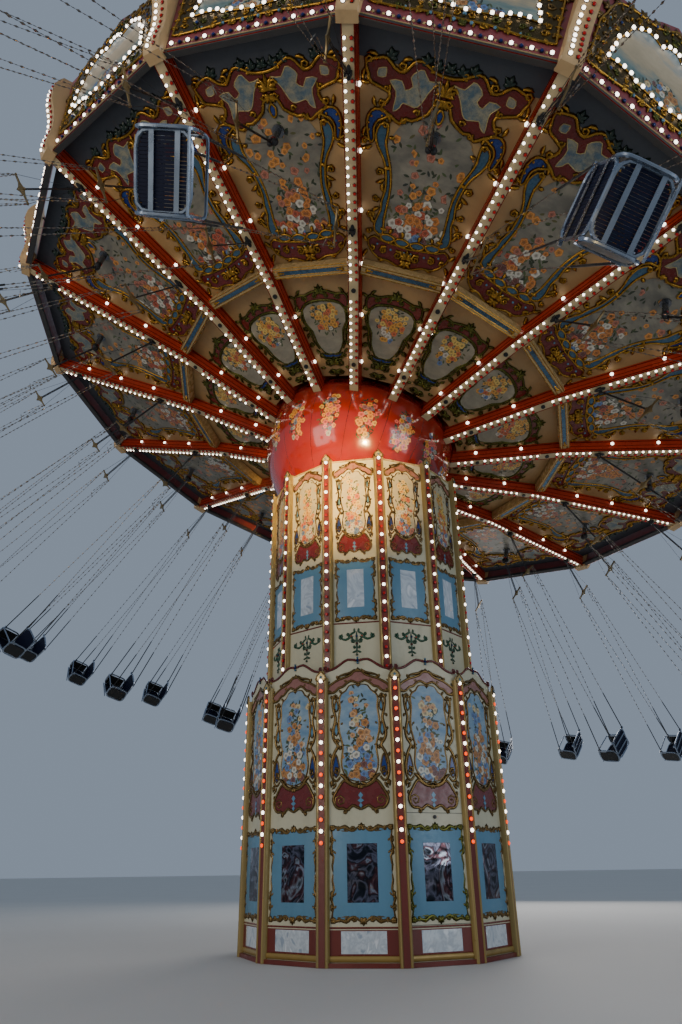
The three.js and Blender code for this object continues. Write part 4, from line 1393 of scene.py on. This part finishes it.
CANVAS_LINE = ((0, -0.59), (0.10, -0.57), (0.17, -0.52), (0.215, -0.44), (0.225, -0.34), (0.21, -0.24),
               (0.21, -0.14), (0.25, 0.01), (0.255, 0.16), (0.235, 0.31), (0.245, 0.41), (0.22, 0.48),
               (0.16, 0.52), (0.12, 0.58), (0.06, 0.595), (0, 0.585))
RIBBON_LINE = ((0, 0.775), (0.05, 0.77), (0.09, 0.73), (0.17, 0.695), (0.25, 0.67), (0.33, 0.625),
               (0.385, 0.585), (0.40, 0.54), (0.36, 0.50), (0.30, 0.515), (0.255, 0.56), (0.20, 0.575),
               (0.15, 0.62), (0.09, 0.65), (0.04, 0.63), (0, 0.615))
BRACKET_LINE = ((0, -0.64), (0.07, -0.64), (0.14, -0.61), (0.19, -0.575), (0.23, -0.60), (0.27, -0.66),
                (0.32, -0.74), (0.335, -0.80), (0.31, -0.86), (0.27, -0.89), (0.215, -0.89), (0.17, -0.91),
                (0.10, -0.86), (0.05, -0.88), (0, -0.90))


def tower_cartouche():
    """The carving round a tower canvas, about its middle: ribbon, lyre of scrolls, drops and bracket."""
    d = Drawing(1.75)
    d.line(CANVAS_LINE, 0.010, OLD_GILT)
    d.panel(RIBBON_LINE, PINK, 0.010, 0.009, OLD_GILT)
    d.panel(BRACKET_LINE, WINE, 0.008, 0.010, OLD_GILT)
    d.line([(0.04, 0.80), (0.10, 0.755), (0.18, 0.735), (0.25, 0.715)], 0.010, OLD_GILT, 0.006)
    d.line([(0.37, 0.65), (0.405, 0.62), (0.42, 0.57), (0.40, 0.52)], 0.010, OLD_GILT, 0.006)
    d.volutes([((0.255, 0.700), 0.022, 60, -1.2), ((0.375, 0.520), 0.030, 0, -1.2),
               ((0.295, 0.452), 0.034, 190, 1.4), ((0.285, -0.112), 0.034, 180, -1.4),
               ((0.250, -0.805), 0.074, -30, 1.5), ((0.195, -0.930), 0.026, 60, 1.2),
               ((0.293, -0.462), 0.042, 60, 1.4), ((0.345, -0.605), 0.026, 90, -1.1),
               ((0.250, -0.190), 0.026, 0, 1.1), ((0.160, 0.655), 0.020, 20, -1.1)], 0.010, OLD_GILT, 0.004)
    d.line([(0.325, 0.46), (0.338, 0.38), (0.322, 0.27), (0.298, 0.18), (0.318, 0.08), (0.338, -0.01),
            (0.318, -0.09), (0.270, -0.16), (0.310, -0.23), (0.350, -0.34), (0.360, -0.46), (0.335, -0.56),
            (0.285, -0.575), (0.250, -0.53)], 0.011, OLD_GILT, 0.003, 0.7)
    for x, y, half, tall, tint in ((0.288, 0.335, 0.024, 0.075, SKY_BLUE),
                                   (0.292, 0.045, 0.026, 0.085, SKY_BLUE),
                                   (0.300, -0.400, 0.044, 0.135, ROYAL)):
        d.patch([(x, y + tall), (x + half * 0.7, y + tall * 0.3), (x + half, y - tall * 0.4), (x, y - tall),
                 (x - half, y - tall * 0.4), (x - half * 0.7, y + tall * 0.3)], tint, 0.004, 0.006, OLD_GILT)
    d.leaves([((0.330, 0.42), 20, 0.06, 90), ((0.330, 0.22), -20, 0.05, -80), ((0.335, 0.02), 10, 0.05, 90),
              ((0.350, -0.30), 30, 0.06, 80), ((0.335, -0.58), -40, 0.08, -60),
              ((0.300, -0.60), -80, 0.09, 50), ((0.335, -0.74), 60, 0.05, 60), ((0.215, 0.50), 20, 0.05, 60),
              ((0.13, -0.89), -60, 0.06, 70), ((0.230, -0.16), 150, 0.05, 60),
              ((0.235, 0.10), 170, 0.04, -60)], 0.010, OLD_GILT, 0.004)
    d.line([(0.02, -0.60), (0.08, -0.625), (0.15, -0.590), (0.20, -0.530), (0.25, -0.50)], 0.015, OLD_GILT,
           0.006)
    for i in range(6):
        d.bead((0.025 + 0.032 * i, -0.585 + 0.0022 * i * i), 0.010, OLD_GILT, 0.008)
    d.fan((0, 0.775), 90, 130, 5, 0.05, 0.010, OLD_GILT)
    d.fan((0, 0.60), -90, 150, 5, 0.045, 0.009, OLD_GILT)
    d.fan((0, -0.66), 90, 120, 5, 0.06, 0.012, OLD_GILT, 0.008)
    for y, half, tall in ((-0.745, 0.030, 0.038), (-0.805, 0.040, 0.028), (-0.860, 0.022, 0.030)):
        d.panel([(0, y + tall), (half, y), (0, y - tall)], SKY_BLUE, 0.013, 0.0, detail=1)
    return d.built()


def window_frame(half, foot, top, tint):
    """A carved frame: shells at the middles, rosettes at the corners, and scrolls between them."""
    d = Drawing(1.9)
    tall = top - foot
    for y, up in ((top, 1), (foot, -1)):
        d.fan((0, y - 0.035 * up), 90 * up, 150, 7, 0.07, 0.012, tint)
        d.line([(0.03, y - 0.01 * up), (0.09, y - 0.055 * up), (0.15, y - 0.045 * up), (0.20, y - 0.01 * up),
                (half - 0.10, y - 0.03 * up), (half - 0.03, y)], 0.013, tint)
        d.line([(0.05, y - 0.06 * up), (0.11, y - 0.02 * up), (0.17, y - 0.06 * up),
                (half - 0.10, y - 0.05 * up)], 0.009, tint)
        for x, r, start, turns in ((0.10, 0.024, 0, 1.2), (0.19, 0.028, 180, -1.2),
                                   (half - 0.085, 0.024, 90, 1.1)):
            d.volute((x, y - 0.035 * up), r, start * up, turns * up, 0.009, tint, 0.003)
        d.fan((half - 0.025, y - 0.025 * up), 45 * up, 320, 7, 0.045, 0.013, tint)
        d.bead((half - 0.025, y - 0.025 * up), 0.016, tint, 0.012)
        for share in (0.14, 0.27):
            at = y - tall * share * up
            d.volute((half - 0.02, at), 0.022, 90 * up, -1.2 * up, 0.009, tint, 0.003)
            d.leaf((half - 0.03, at), 200 * up, 0.05, 60 * up, 0.011, tint)
            d.leaf((half - 0.01, at), -60 * up, 0.05, -50 * up, 0.010, tint)
        d.line([(half - 0.005, y - 0.05 * up), (half - 0.03, y - tall * 0.16 * up),
                (half, y - tall * 0.24 * up), (half - 0.035, y - tall * 0.33 * up),
                (half - 0.02, y - tall * 0.42 * up), (half - 0.03, y - tall * 0.5 * up)], 0.010, tint)
    return d.built()


def crest_rope():
    """The rope along a lower panel's crest, with scrolls at the posts and a jewel in its middle."""
    d = Drawing()
    d.line([(0.425, 3.330), (0.36, 3.340), (0.29, 3.370), (0.21, 3.425), (0.13, 3.468), (0.05, 3.462),
            (0.03, 3.470)], 0.017, WINE, 0.004, 0.8)
    d.volute((0.425, 3.362), 0.032, -90, 1.3, 0.015, WINE, 0.004)
    d.bead((0.034, 3.455), 0.020, WINE, 0.010)
    for y, radius, tint in ((3.455, 0.022, ROYAL), (3.488, 0.018, SKY_BLUE), (3.420, 0.019, SKY_BLUE)):
        d.bead((0, y), radius, tint, 0.014)
    return d.built()


def upper_bracket():
    """The green scrolled bracket under an upper window, with its pendant."""
    d = Drawing(1.3)
    d.line([(0.02, 3.925), (0.07, 3.90), (0.10, 3.85), (0.15, 3.82), (0.21, 3.835)], 0.014, LEAF, 0.0, 0.6)
    d.line([(0, 3.93), (0.004, 3.80), (0, 3.60)], 0.010, LEAF, 0.0, 0.4)
    d.volutes([((0.215, 3.865), 0.034, -90, 1.4), ((0.045, 3.80), 0.034, 80, -1.4),
               ((0.115, 3.895), 0.024, -120, 1.2), ((0.03, 3.71), 0.018, 90, -1.2)], 0.010, LEAF, 0.003)
    d.leaves([((0.20, 3.84), 60, 0.07, 60), ((0.10, 3.85), 200, 0.06, -60), ((0.02, 3.92), 60, 0.06, 40),
              ((0.01, 3.66), -50, 0.06, 60)], 0.012, LEAF, 0.003)
    d.bead((0.075, 3.865), 0.014, ORANGE_RED, 0.008)
    for y, tint in ((3.865, ROYAL), (3.76, WINE), (3.605, LEAF)):
        d.bead((0, y), 0.018, tint, 0.008)
    return d.built()


def post_head():
    """The pointed gilt head of a post, with its pale jewel."""
    d = Drawing()
    d.panel([(0, 0.085), (0.030, 0.055), (0.058, 0.025), (0.066, -0.03), (0.0, -0.035)], CREAM_GOLD, 0.030,
            0.010, OLD_GILT, 0.030)
    d.volute((0.062, -0.010), 0.018, 90, -1.1, 0.009, OLD_GILT, 0.060)
    d.bead((0, 0.010), 0.022, PALE_BLUE, 0.062)
    d.bead((0, 0.092), 0.014, OLD_GILT, 0.045)
    return d.built()


def tower_carvings():
    """Canvases in their carved frames, window frames, the hatch's seam, and the post heads."""
    lower, upper = faces_of(LOWER_PHASE, LOWER_FACE), faces_of(UPPER_PHASE, UPPER_FACE)
    low_place = Matrix.Translation((0, 2.54, 0))
    high_place = Matrix.Translation((0, 5.919, 0)) @ Matrix.Diagonal((0.744, 0.892, 0.8, 1))
    cartouche = tower_cartouche()
    painted = canvas(CANVAS_LINE)
    for storey, faces, place, body, finish in (("lower", lower, low_place, "tower", tower_canvas),
                                               ("upper", upper, high_place, "lift", warm_canvas)):
        places = [face @ place for face in faces]
        piece(storey + "_cartouches", gathered([cartouche], places), body, carved, "round")
        piece(storey + "_canvases", gathered([painted], places, numbered=True), body, finish)
    hatch = min(lower, key=lambda face: (face.translation - Vector(polar(HATCH_SIDE, LOWER_FACE))).length)
    others = [face for face in lower if face is not hatch]
    frames = [gathered([window_frame(*LOWER_FRAME, OLD_GILT)], others),
              gathered([window_frame(*LOWER_FRAME, GREEN_GILT)], [hatch]),
              gathered([crest_rope()], lower)]
    piece("lower_window_frames", gathered(frames), "tower", carved, "round")
    half, foot, top = HATCH
    back, front = -0.001, 0.0015
    seam = [box((x - HATCH_GAP, foot, back), (x + HATCH_GAP, top, front)) for x in (-half, half)]
    seam += [box((-half, y - HATCH_GAP, back), (half, y + HATCH_GAP, front)) for y in (foot, top)]
    lock = top - 0.045
    seam += [rod((0, lock, 0), (0, lock, 0.014), 0.022, 12),
             rod((0, lock, 0.014), (0, lock, 0.024), 0.009, 8)]
    piece("service_hatch_seam", gathered(seam, [hatch]), "tower", edge_grey)
    piece("upper_window_frames", gathered([window_frame(*UPPER_FRAME, OLD_GILT), upper_bracket()], upper),
          "lift", carved, "round")
    for name, phase, radius, top, body in (("lower", LOWER_PHASE, LOWER_R, LOWER_POST_TOP, "tower"),
                                           ("upper", UPPER_PHASE, UPPER_R, UPPER_POST_TOP, "lift")):
        places = [corner @ Matrix.Translation((0, top, 0)) for corner in corners_of(phase, radius)]
        piece(name + "_post_heads", gathered([post_head()], places), body, carved, "round")


def outer_bay():
    """The carving of a wide ceiling bay: a crest over the wings, side strips, and a foot of lobes."""
    d = Drawing(1.7)
    red = shade("64180e", 0.0)
    d.panel([(0, 2.60), (0.16, 2.62), (0.34, 2.71), (0.445, 2.66), (0.53, 2.55), (0.65, 2.575), (0.757, 2.66),
             (0.866, 2.64), (1.0, 2.57), (0.95, 2.45), (0.90, 2.37), (0.665, 2.31), (0.67, 2.20),
             (0.73, 2.12), (0.575, 2.04), (0.477, 1.99), (0.40, 2.06), (0.326, 2.05), (0.15, 2.16),
             (0.10, 2.28), (0, 2.30)], red, 0.012, 0.016, GILT)
    d.patch([(0.62, 2.04), (0.74, 2.10), (0.84, 2.06), (0.875, 1.935), (0.84, 1.80), (0.79, 1.70),
             (0.75, 1.74), (0.774, 1.875), (0.73, 1.97)], ROYAL, 0.008, 0.014, GILT)
    d.patch([(0.60, 1.95), (0.70, 1.93), (0.735, 1.80), (0.68, 1.66), (0.60, 1.56), (0.54, 1.45),
             (0.50, 1.30), (0.48, 1.15), (0.50, 1.0), (0.49, 0.87), (0.53, 0.72), (0.52, 0.58), (0.40, 0.54),
             (0.42, 0.75), (0.415, 0.96), (0.42, 1.21), (0.475, 1.45), (0.55, 1.62), (0.59, 1.75)], SHADED_BAY_BLUE,
            0.006, 0.012, GILT)
    d.panel([(0, 0.42), (0.20, 0.44), (0.40, 0.46), (0.50, 0.50), (0.58, 0.42), (0.52, 0.30), (0.40, 0.20),
             (0.25, 0.19), (0.12, 0.14), (0, 0.10)], WINE, 0.008, 0.012, GILT)
    for x, y, half in ((0.11, 0.50, 0.10), (0.32, 0.52, 0.10)):
        d.patch([(x - half, y), (x - half * 0.5, y - 0.055), (x + half * 0.5, y - 0.055),
                 (x + half, y + 0.01), (x, y + 0.045)], SHADED_BAY_BLUE, 0.014, 0.011, GILT)
    d.volutes([((0.565, 2.605), 0.060, -90, -1.4), ((0.965, 2.60), 0.055, -60, 1.3),
               ((0.70, 2.345), 0.050, 120, 1.3), ((0.735, 2.165), 0.046, 200, -1.3),
               ((0.28, 2.15), 0.042, 0, 1.2), ((0.42, 2.03), 0.040, 60, -1.2),
               ((0.86, 1.70), 0.050, 150, -1.3), ((0.64, 1.93), 0.042, 0, 1.3),
               ((0.60, 1.36), 0.055, 200, -1.4), ((0.585, 1.02), 0.050, 170, 1.3),
               ((0.62, 0.78), 0.055, 190, -1.4), ((0.60, 0.56), 0.042, 120, 1.2),
               ((0.13, 0.30), 0.070, 60, 1.5), ((0.34, 0.33), 0.062, 120, -1.4),
               ((0.50, 0.32), 0.042, 60, 1.2), ((0.09, 2.46), 0.055, 0, 1.4), ((0.08, 2.33), 0.045, 0, -1.3),
               ((0.20, 2.66), 0.045, -60, -1.2)], 0.016, GILT, 0.010)
    d.leaves([((0.46, 2.70), 20, 0.14, -90), ((0.88, 2.66), 40, 0.14, -80), ((1.00, 2.50), -60, 0.14, -60),
              ((0.92, 2.36), -30, 0.12, 80), ((0.80, 2.12), 40, 0.12, 60), ((0.88, 1.86), -60, 0.12, -50),
              ((0.76, 1.66), -50, 0.16, 60), ((0.55, 1.42), 190, 0.10, -60), ((0.52, 1.28), -60, 0.13, 60),
              ((0.50, 1.12), 30, 0.12, 90), ((0.52, 0.90), -10, 0.12, -80), ((0.54, 0.68), 20, 0.13, 80),
              ((0.58, 0.40), 20, 0.12, 60), ((0.56, 0.28), -40, 0.13, -60), ((0.30, 0.20), -50, 0.10, 60),
              ((0.44, 0.62), 160, 0.10, 60), ((0.12, 0.56), 110, 0.09, -60), ((0.30, 0.58), 80, 0.08, 60),
              ((0.62, 2.05), 220, 0.10, 60), ((0.56, 1.80), 200, 0.08, -60)], 0.019, GILT, 0.008)
    d.fan((0, 2.40), 90, 130, 7, 0.20, 0.024, GILT, 0.012)
    d.fan((0, 2.34), -90, 150, 7, 0.13, 0.020, GILT, 0.012)
    d.fan((0, 0.28), 90, 150, 7, 0.14, 0.022, GILT, 0.012)
    d.fan((0, 0.22), -90, 150, 5, 0.14, 0.022, GILT, 0.012)
    for x, y, heading in ((0, 2.66, 90), (0.14, 2.66, 70), (0.27, 2.70, 50), (0.72, 2.67, 110)):
        d.fan((x, y), heading, 110, 4, 0.13, 0.024, DEEP_GREEN, 0.004)
    d.panel([(0, 2.25), (0.045, 2.19), (0.03, 2.11), (0, 2.08)], ROYAL, 0.020, 0.010, GILT)
    for x, y in ((0.83, 2.00), (0.85, 1.92), (0.83, 1.84), (0.70, 2.03), (0.05, 0.36), (0.24, 0.36),
                 (0.44, 0.40)):
        d.bead((x, y), 0.020, SKY_BLUE if y < 1 else GILT, 0.016)
    return d.built(1.0)


WING_LINE = ((0.085, 2.54), (0.217, 2.52), (0.298, 2.618), (0.374, 2.592), (0.436, 2.514), (0.393, 2.423),
             (0.479, 2.367), (0.537, 2.456), (0.681, 2.434), (0.588, 2.337), (0.575, 2.225), (0.578, 2.109),
             (0.507, 2.163), (0.473, 2.226), (0.329, 2.204), (0.259, 2.258), (0.196, 2.396), (0.125, 2.498))
EYE_LINE = ((0.748, 2.56), (0.838, 2.532), (0.834, 2.451), (0.739, 2.466))
BAY_CANVAS = ((0, 2.28), (0.10, 2.26), (0.15, 2.18), (0.33, 2.07), (0.47, 1.93), (0.57, 1.69), (0.54, 1.52),
              (0.45, 1.38), (0.40, 1.15), (0.41, 0.95), (0.41, 0.75), (0.36, 0.62), (0.21, 0.55), (0, 0.52))
INNER_CANVAS = ((0, 1.27), (0.20, 1.245), (0.34, 1.15), (0.335, 0.93), (0.25, 0.79), (0.22, 0.60),
                (0.12, 0.42), (0, 0.39))


def inner_bay():
    """The carving of a narrow bay: red-filled scrolls over the canvas and leaves towards the hub."""
    d = Drawing(1.6)
    d.panel([(0, 1.44), (0.13, 1.42), (0.26, 1.37), (0.39, 1.37), (0.43, 1.27), (0.40, 1.15), (0.34, 1.16),
             (0.27, 1.24), (0.14, 1.28), (0, 1.29)], BRICK, 0.010, 0.014, GREEN_GILT)
    d.line(INNER_CANVAS, 0.012, GREEN_GILT, 0.003)
    d.line([(0.36, 1.13), (0.385, 0.98), (0.30, 0.82), (0.275, 0.64), (0.20, 0.48)], 0.013, GREEN_GILT, 0.003)
    d.volutes([((0.27, 1.32), 0.050, 180, -1.4), ((0.41, 1.16), 0.045, 100, -1.3),
               ((0.10, 1.36), 0.045, 90, 1.3), ((0.36, 0.84), 0.040, 180, 1.3),
               ((0.31, 0.56), 0.036, 160, -1.3), ((0.10, 0.24), 0.080, 60, 1.6),
               ((0.07, 0.09), 0.055, 0, -1.4), ((0.19, 0.36), 0.040, 200, -1.2)], 0.014, GREEN_GILT, 0.008)
    d.leaves([((0.42, 1.33), 50, 0.13, -60), ((0.38, 1.38), 100, 0.11, 60), ((0.41, 1.05), -50, 0.12, 70),
              ((0.30, 0.76), -20, 0.11, -80), ((0.27, 0.56), -40, 0.11, 70), ((0.20, 0.42), 10, 0.09, 80),
              ((0.17, 0.16), -30, 0.09, 60), ((0.14, 0.32), 40, 0.09, 60)], 0.017, GREEN_GILT, 0.006)
    d.fan((0, 1.40), 90, 140, 7, 0.14, 0.020, GREEN_GILT, 0.010)
    d.fan((0, 0.22), 90, 140, 7, 0.15, 0.022, GREEN_GILT, 0.012)
    d.fan((0, 0.10), -90, 140, 5, 0.13, 0.020, GREEN_GILT, 0.010)
    d.panel([(0, 0.395), (0.10, 0.385), (0.17, 0.42), (0.13, 0.35), (0, 0.33)], ROYAL, 0.012, 0.008,
            GREEN_GILT)
    return d.built()


def marble():
    """Pale blue marbling with cream clouds and dark veins."""
    f = Finish("wing_marble")
    clouds = f.noise(7, 5, 0.65)
    veins = f.noise(11, 6, 0.75)
    colour = f.mix(f.ramp(clouds, (0.38, 0.0), (0.60, 1.0)), shade("4c6472"), shade("948f78"))
    colour = f.mix(f.ramp(veins, (0.47, 0.0), (0.50, 0.6), (0.53, 0.0)), colour, shade("38474f"))
    f.set(base_color=colour, roughness=0.34)
    return f.done()


def bay_carvings():
    """Carvings, canvases and marbled wings of the ceiling's bays, and a grey band at their outer edge that is
    painted shadow of the cornice.
    """
    wide_faces, start, end = bay_faces(False)
    narrow_faces, _, _ = bay_faces(True)
    piece("outer_bay_carvings", gathered([outer_bay()], wide_faces), "crown", carved,
          "round")
    piece("outer_bay_canvases", gathered([canvas(BAY_CANVAS)], wide_faces, numbered=True), "crown",
          bay_canvas)
    wings = both(gathered([filled(outline, 0.004, 0.012) for outline in (WING_LINE, EYE_LINE)]))
    piece("marbled_wings", gathered([wings], wide_faces), "crown", marble())
    d = Drawing()
    for outline in (WING_LINE, EYE_LINE):
        d.line([*outline, outline[0]], 0.008, CREAM_GOLD, 0.015, 1.0)
    piece("wing_rims", gathered([d.built()], wide_faces), "crown", carved, "round")
    piece("inner_bay_carvings", gathered([inner_bay()], narrow_faces), "crown", carved,
          "round")
    piece("inner_bay_canvases", gathered([canvas(INNER_CANVAS)], narrow_faces, numbered=True), "crown",
          inner_canvas)
    # The grey band is a painted shadow: a dark sheet where the cornice shades the ceiling's outer edge.
    rise = math.hypot((end - start) * FLAT, rib_z(end) - rib_z(start))
    foot = 2.615
    low, high = ((start + (end - start) * y / rise) * math.sin(SECTOR / 2) for y in (foot, rise))
    band = plate([(-low, foot), (low, foot), (high, rise), (-high, rise)], 0.004, -0.001)
    piece("painted_shadow_bands", gathered([band], wide_faces), "crown", shadow_and_batten_grey, smooth=False)


SCENE_LINE = ((0, 0.45), (0.15, 0.47), (0.30, 0.49), (0.41, 0.49), (0.50, 0.545), (0.61, 0.56), (0.72, 0.56),
              (0.85, 0.54), (0.83, 0.66), (0.80, 0.77), (0.79, 0.91), (0.70, 1.02), (0.64, 1.20),
              (0.53, 1.275), (0.425, 1.34), (0.31, 1.34), (0.17, 1.285), (0.08, 1.36), (0, 1.37))
ENCRUSTED_LINE = ((0, 0.34), (0.33, 0.36), (0.67, 0.36), (1.00, 0.36), (1.00, 0.60), (1.00, 0.90),
                  (0.88, 1.12), (0.80, 1.32), (0.60, 1.43), (0.36, 1.46), (0.16, 1.50), (0, 1.58))


def encrusted(d, path, wide, seed):
    """A dense band of small scrolls, leaves and beads along a line."""
    pitch = 0.135
    rng = random.Random(seed)
    points = [Vector(p) for p in smooth(path, 8, closed=False)]
    walked, due, side = 0.0, 0.0, 1
    for before, after in zip(points, points[1:]):
        walked += (after - before).length
        if walked < due:
            continue
        due += pitch
        side = -side
        heading = math.degrees(math.atan2(after.y - before.y, after.x - before.x))
        normal = Vector((before.y - after.y, after.x - before.x)).normalized()
        tint = rng.choice((GILT, GILT, OLD_GILT, GREEN_GILT))
        at = before + normal * side * wide * 0.28
        d.volute(at, wide * rng.uniform(0.24, 0.34), heading + rng.uniform(0, 360), side * 1.3, 0.017, tint,
                 0.012)
        for sway in (-1, 1):
            d.leaf(tuple(before + normal * sway * wide * 0.12), heading + sway * rng.uniform(30, 75),
                   wide * 0.55, sway * rng.uniform(40, 90), 0.019, tint, 0.010)
        bead = before - normal * side * wide * 0.32
        d.bead(tuple(bead), rng.uniform(0.016, 0.028), rng.choice((ROYAL, GILT, GILT, SKY_BLUE)), 0.014)


def cornice_carving():
    """The encrusted frame of a cornice panel, over a ground of dark gilt, with leaves along its crest."""
    d = Drawing(1.25)
    d.panel([(0, 0.31), (0.33, 0.32), (0.67, 0.28), (1.04, 0.27), (1.08, 0.32), (1.07, 0.60), (1.08, 0.95),
             (1.02, 1.12), (0.98, 1.27), (0.88, 1.43), (0.64, 1.50), (0.31, 1.53), (0.14, 1.62), (0, 1.72)],
            shade("54431f", 0.85), 0.010, 0.018, GILT)
    encrusted(d, ENCRUSTED_LINE, 0.19, 11)
    d.line(SCENE_LINE, 0.014, GILT, 0.016, 1.0)
    for x, y, heading in ((0.0, 1.66, 90), (0.16, 1.60, 70), (0.32, 1.55, 80), (0.52, 1.52, 70),
                          (0.72, 1.48, 70), (0.90, 1.40, 50), (1.02, 1.22, 40), (1.09, 1.02, 20)):
        d.fan((x, y), heading, 120, 4, 0.12, 0.024, OLD_GILT, 0.010)
    return d.built()


def cornice_scene():
    """A painted landscape: pale sky, a green-blue middle distance and bushes of flowers, all generic."""
    def ground(f, place):
        y = f.parts(place)[1]
        drift = f.times(f.minus(f.noise(3.2, 5, 0.65, f.scaled(place, (0.7, 2.2, 1))), 0.5), 0.7)
        level = f.plus(y, drift)
        return f.ramp(f.over(level, 1.5), (0.30, shade("4c5f58")), (0.42, shade("6f8a8a")),
                      (0.55, shade("b9a888")), (0.72, shade("cdbb9a")), (0.88, shade("8aa0a8")))

    return bouquet("cornice_scene", ground, pyramid(0.40, 0.80, 0.75, 0.10), 0.13, TOWER_ROSES).done()


def cornice_carvings():
    """The encrusted frames of the cornice, their pictures, and the lamps round these."""
    faces = cornice_faces()
    piece("cornice_carvings", gathered([cornice_carving()], faces), "crown", carved, "round")
    piece("cornice_scenes", gathered([canvas(SCENE_LINE, 0.012)], faces, numbered=True), "crown",
          cornice_scene())
    spots = [(x * side, y) for x, y in SCENE_LINE for side in ((1, -1) if x else (1,))]
    holders = bulbs([(face, x, y, 0.024) for face in faces for x, y in spots], white_bulb, "crown",
                    "cornice_scene_lamps", 0.030)
    piece("cornice_scene_sockets", holders, "crown", socket_metal)


# Kept nodes

def kept_nodes():
    """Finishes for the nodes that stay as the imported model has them."""
    for name, material in (("base_frame", frame_grey), ("lift_mast", mast_grey), ("tilt_head", mast_grey),
                           ("crown_roof", roof_skin)):
        mesh = frame["nodes"][name].data
        mesh.materials.clear()
        mesh.materials.append(material)


# Stage

def stage():
    """A pale floor, a plain sky, and soft lights with one low warm one."""
    reach, drop = 600, 0.002
    floor = bpy.data.meshes.new("floor")
    bm = bmesh.new()
    bmesh.ops.create_grid(bm, x_segments=1, y_segments=1, size=reach)
    bmesh.ops.translate(bm, vec=(0, 0, -drop), verts=bm.verts)
    bm.to_mesh(floor)
    bm.free()
    ground = added("floor", floor)
    f = Finish("floor_pale")
    f.set(base_color=f.mix(f.noise(0.3, 3), shade("c9c8c4"), shade("d3d2ce")), roughness=0.75)
    floor.materials.append(f.done())
    world = bpy.data.worlds.new("studio")
    world.use_nodes = True
    background = world.node_tree.nodes["Background"]
    background.inputs["Color"].default_value = (0.56, 0.68, 0.86, 1)
    background.inputs["Strength"].default_value = 0.40
    bpy.context.scene.world = world
    for name, at, aim, size, spread, power, colour in (
            ("evening", (2.6, -22.0, 0.5), (-0.45, -1.6, 6.35), 0.4, 8, 44, (1.0, 0.60, 0.17)),
            ("left", (-13.0, -16.0, 7.0), (0, 0, 6.5), 9, 180, 950, (1.0, 0.90, 0.78)),
            ("right", (14.0, -13.0, 5.5), (0, 0, 6.5), 8, 180, 560, (0.85, 0.92, 1.0)),
            ("back", (6.0, 16.0, 9.0), (0, 0, 6.5), 10, 180, 1200, (1.0, 0.95, 0.9))):
        light = bpy.data.lights.new(name, "AREA")
        light.size, light.energy, light.color, light.spread = size, power, colour, math.radians(spread)
        lamp = added(name, light)
        lamp.location = at
        lamp.rotation_euler = (Vector(aim) - Vector(at)).to_track_quat("-Z", "Y").to_euler()


def camera():
    """Near the ground in front of the ride, tipped up and very slightly rolled."""
    place, pitch, yaw, roll = Vector((0.0, -11.27, 0.955)), 0.4558, 0.0370, -0.0146
    right = Vector((math.cos(yaw), math.sin(yaw), 0))
    forward = Vector((-math.sin(yaw) * math.cos(pitch), math.cos(yaw) * math.cos(pitch), math.sin(pitch)))
    up = right.cross(forward)
    x = right * math.cos(roll) + up * math.sin(roll)
    y = -right * math.sin(roll) + up * math.cos(roll)
    lens = bpy.data.cameras.new("camera")
    lens.lens, lens.sensor_width, lens.clip_end = 25.84, 36.0, 2000
    lens.sensor_fit = "AUTO"
    obj = added("camera", lens)
    obj.matrix_world = frame_at(x, y, -forward, place)
    bpy.context.scene.camera = obj


camera()
stage()
kept_nodes()
lower_tower()
upper_tower()
hub_bowl()
crown_ribs()
rib_lamps()
crown_ceiling()
crown_cornice()
pilasters()
roof_trim()
middle_hangers()
tower_carvings()
bay_carvings()
cornice_carvings()
swings()
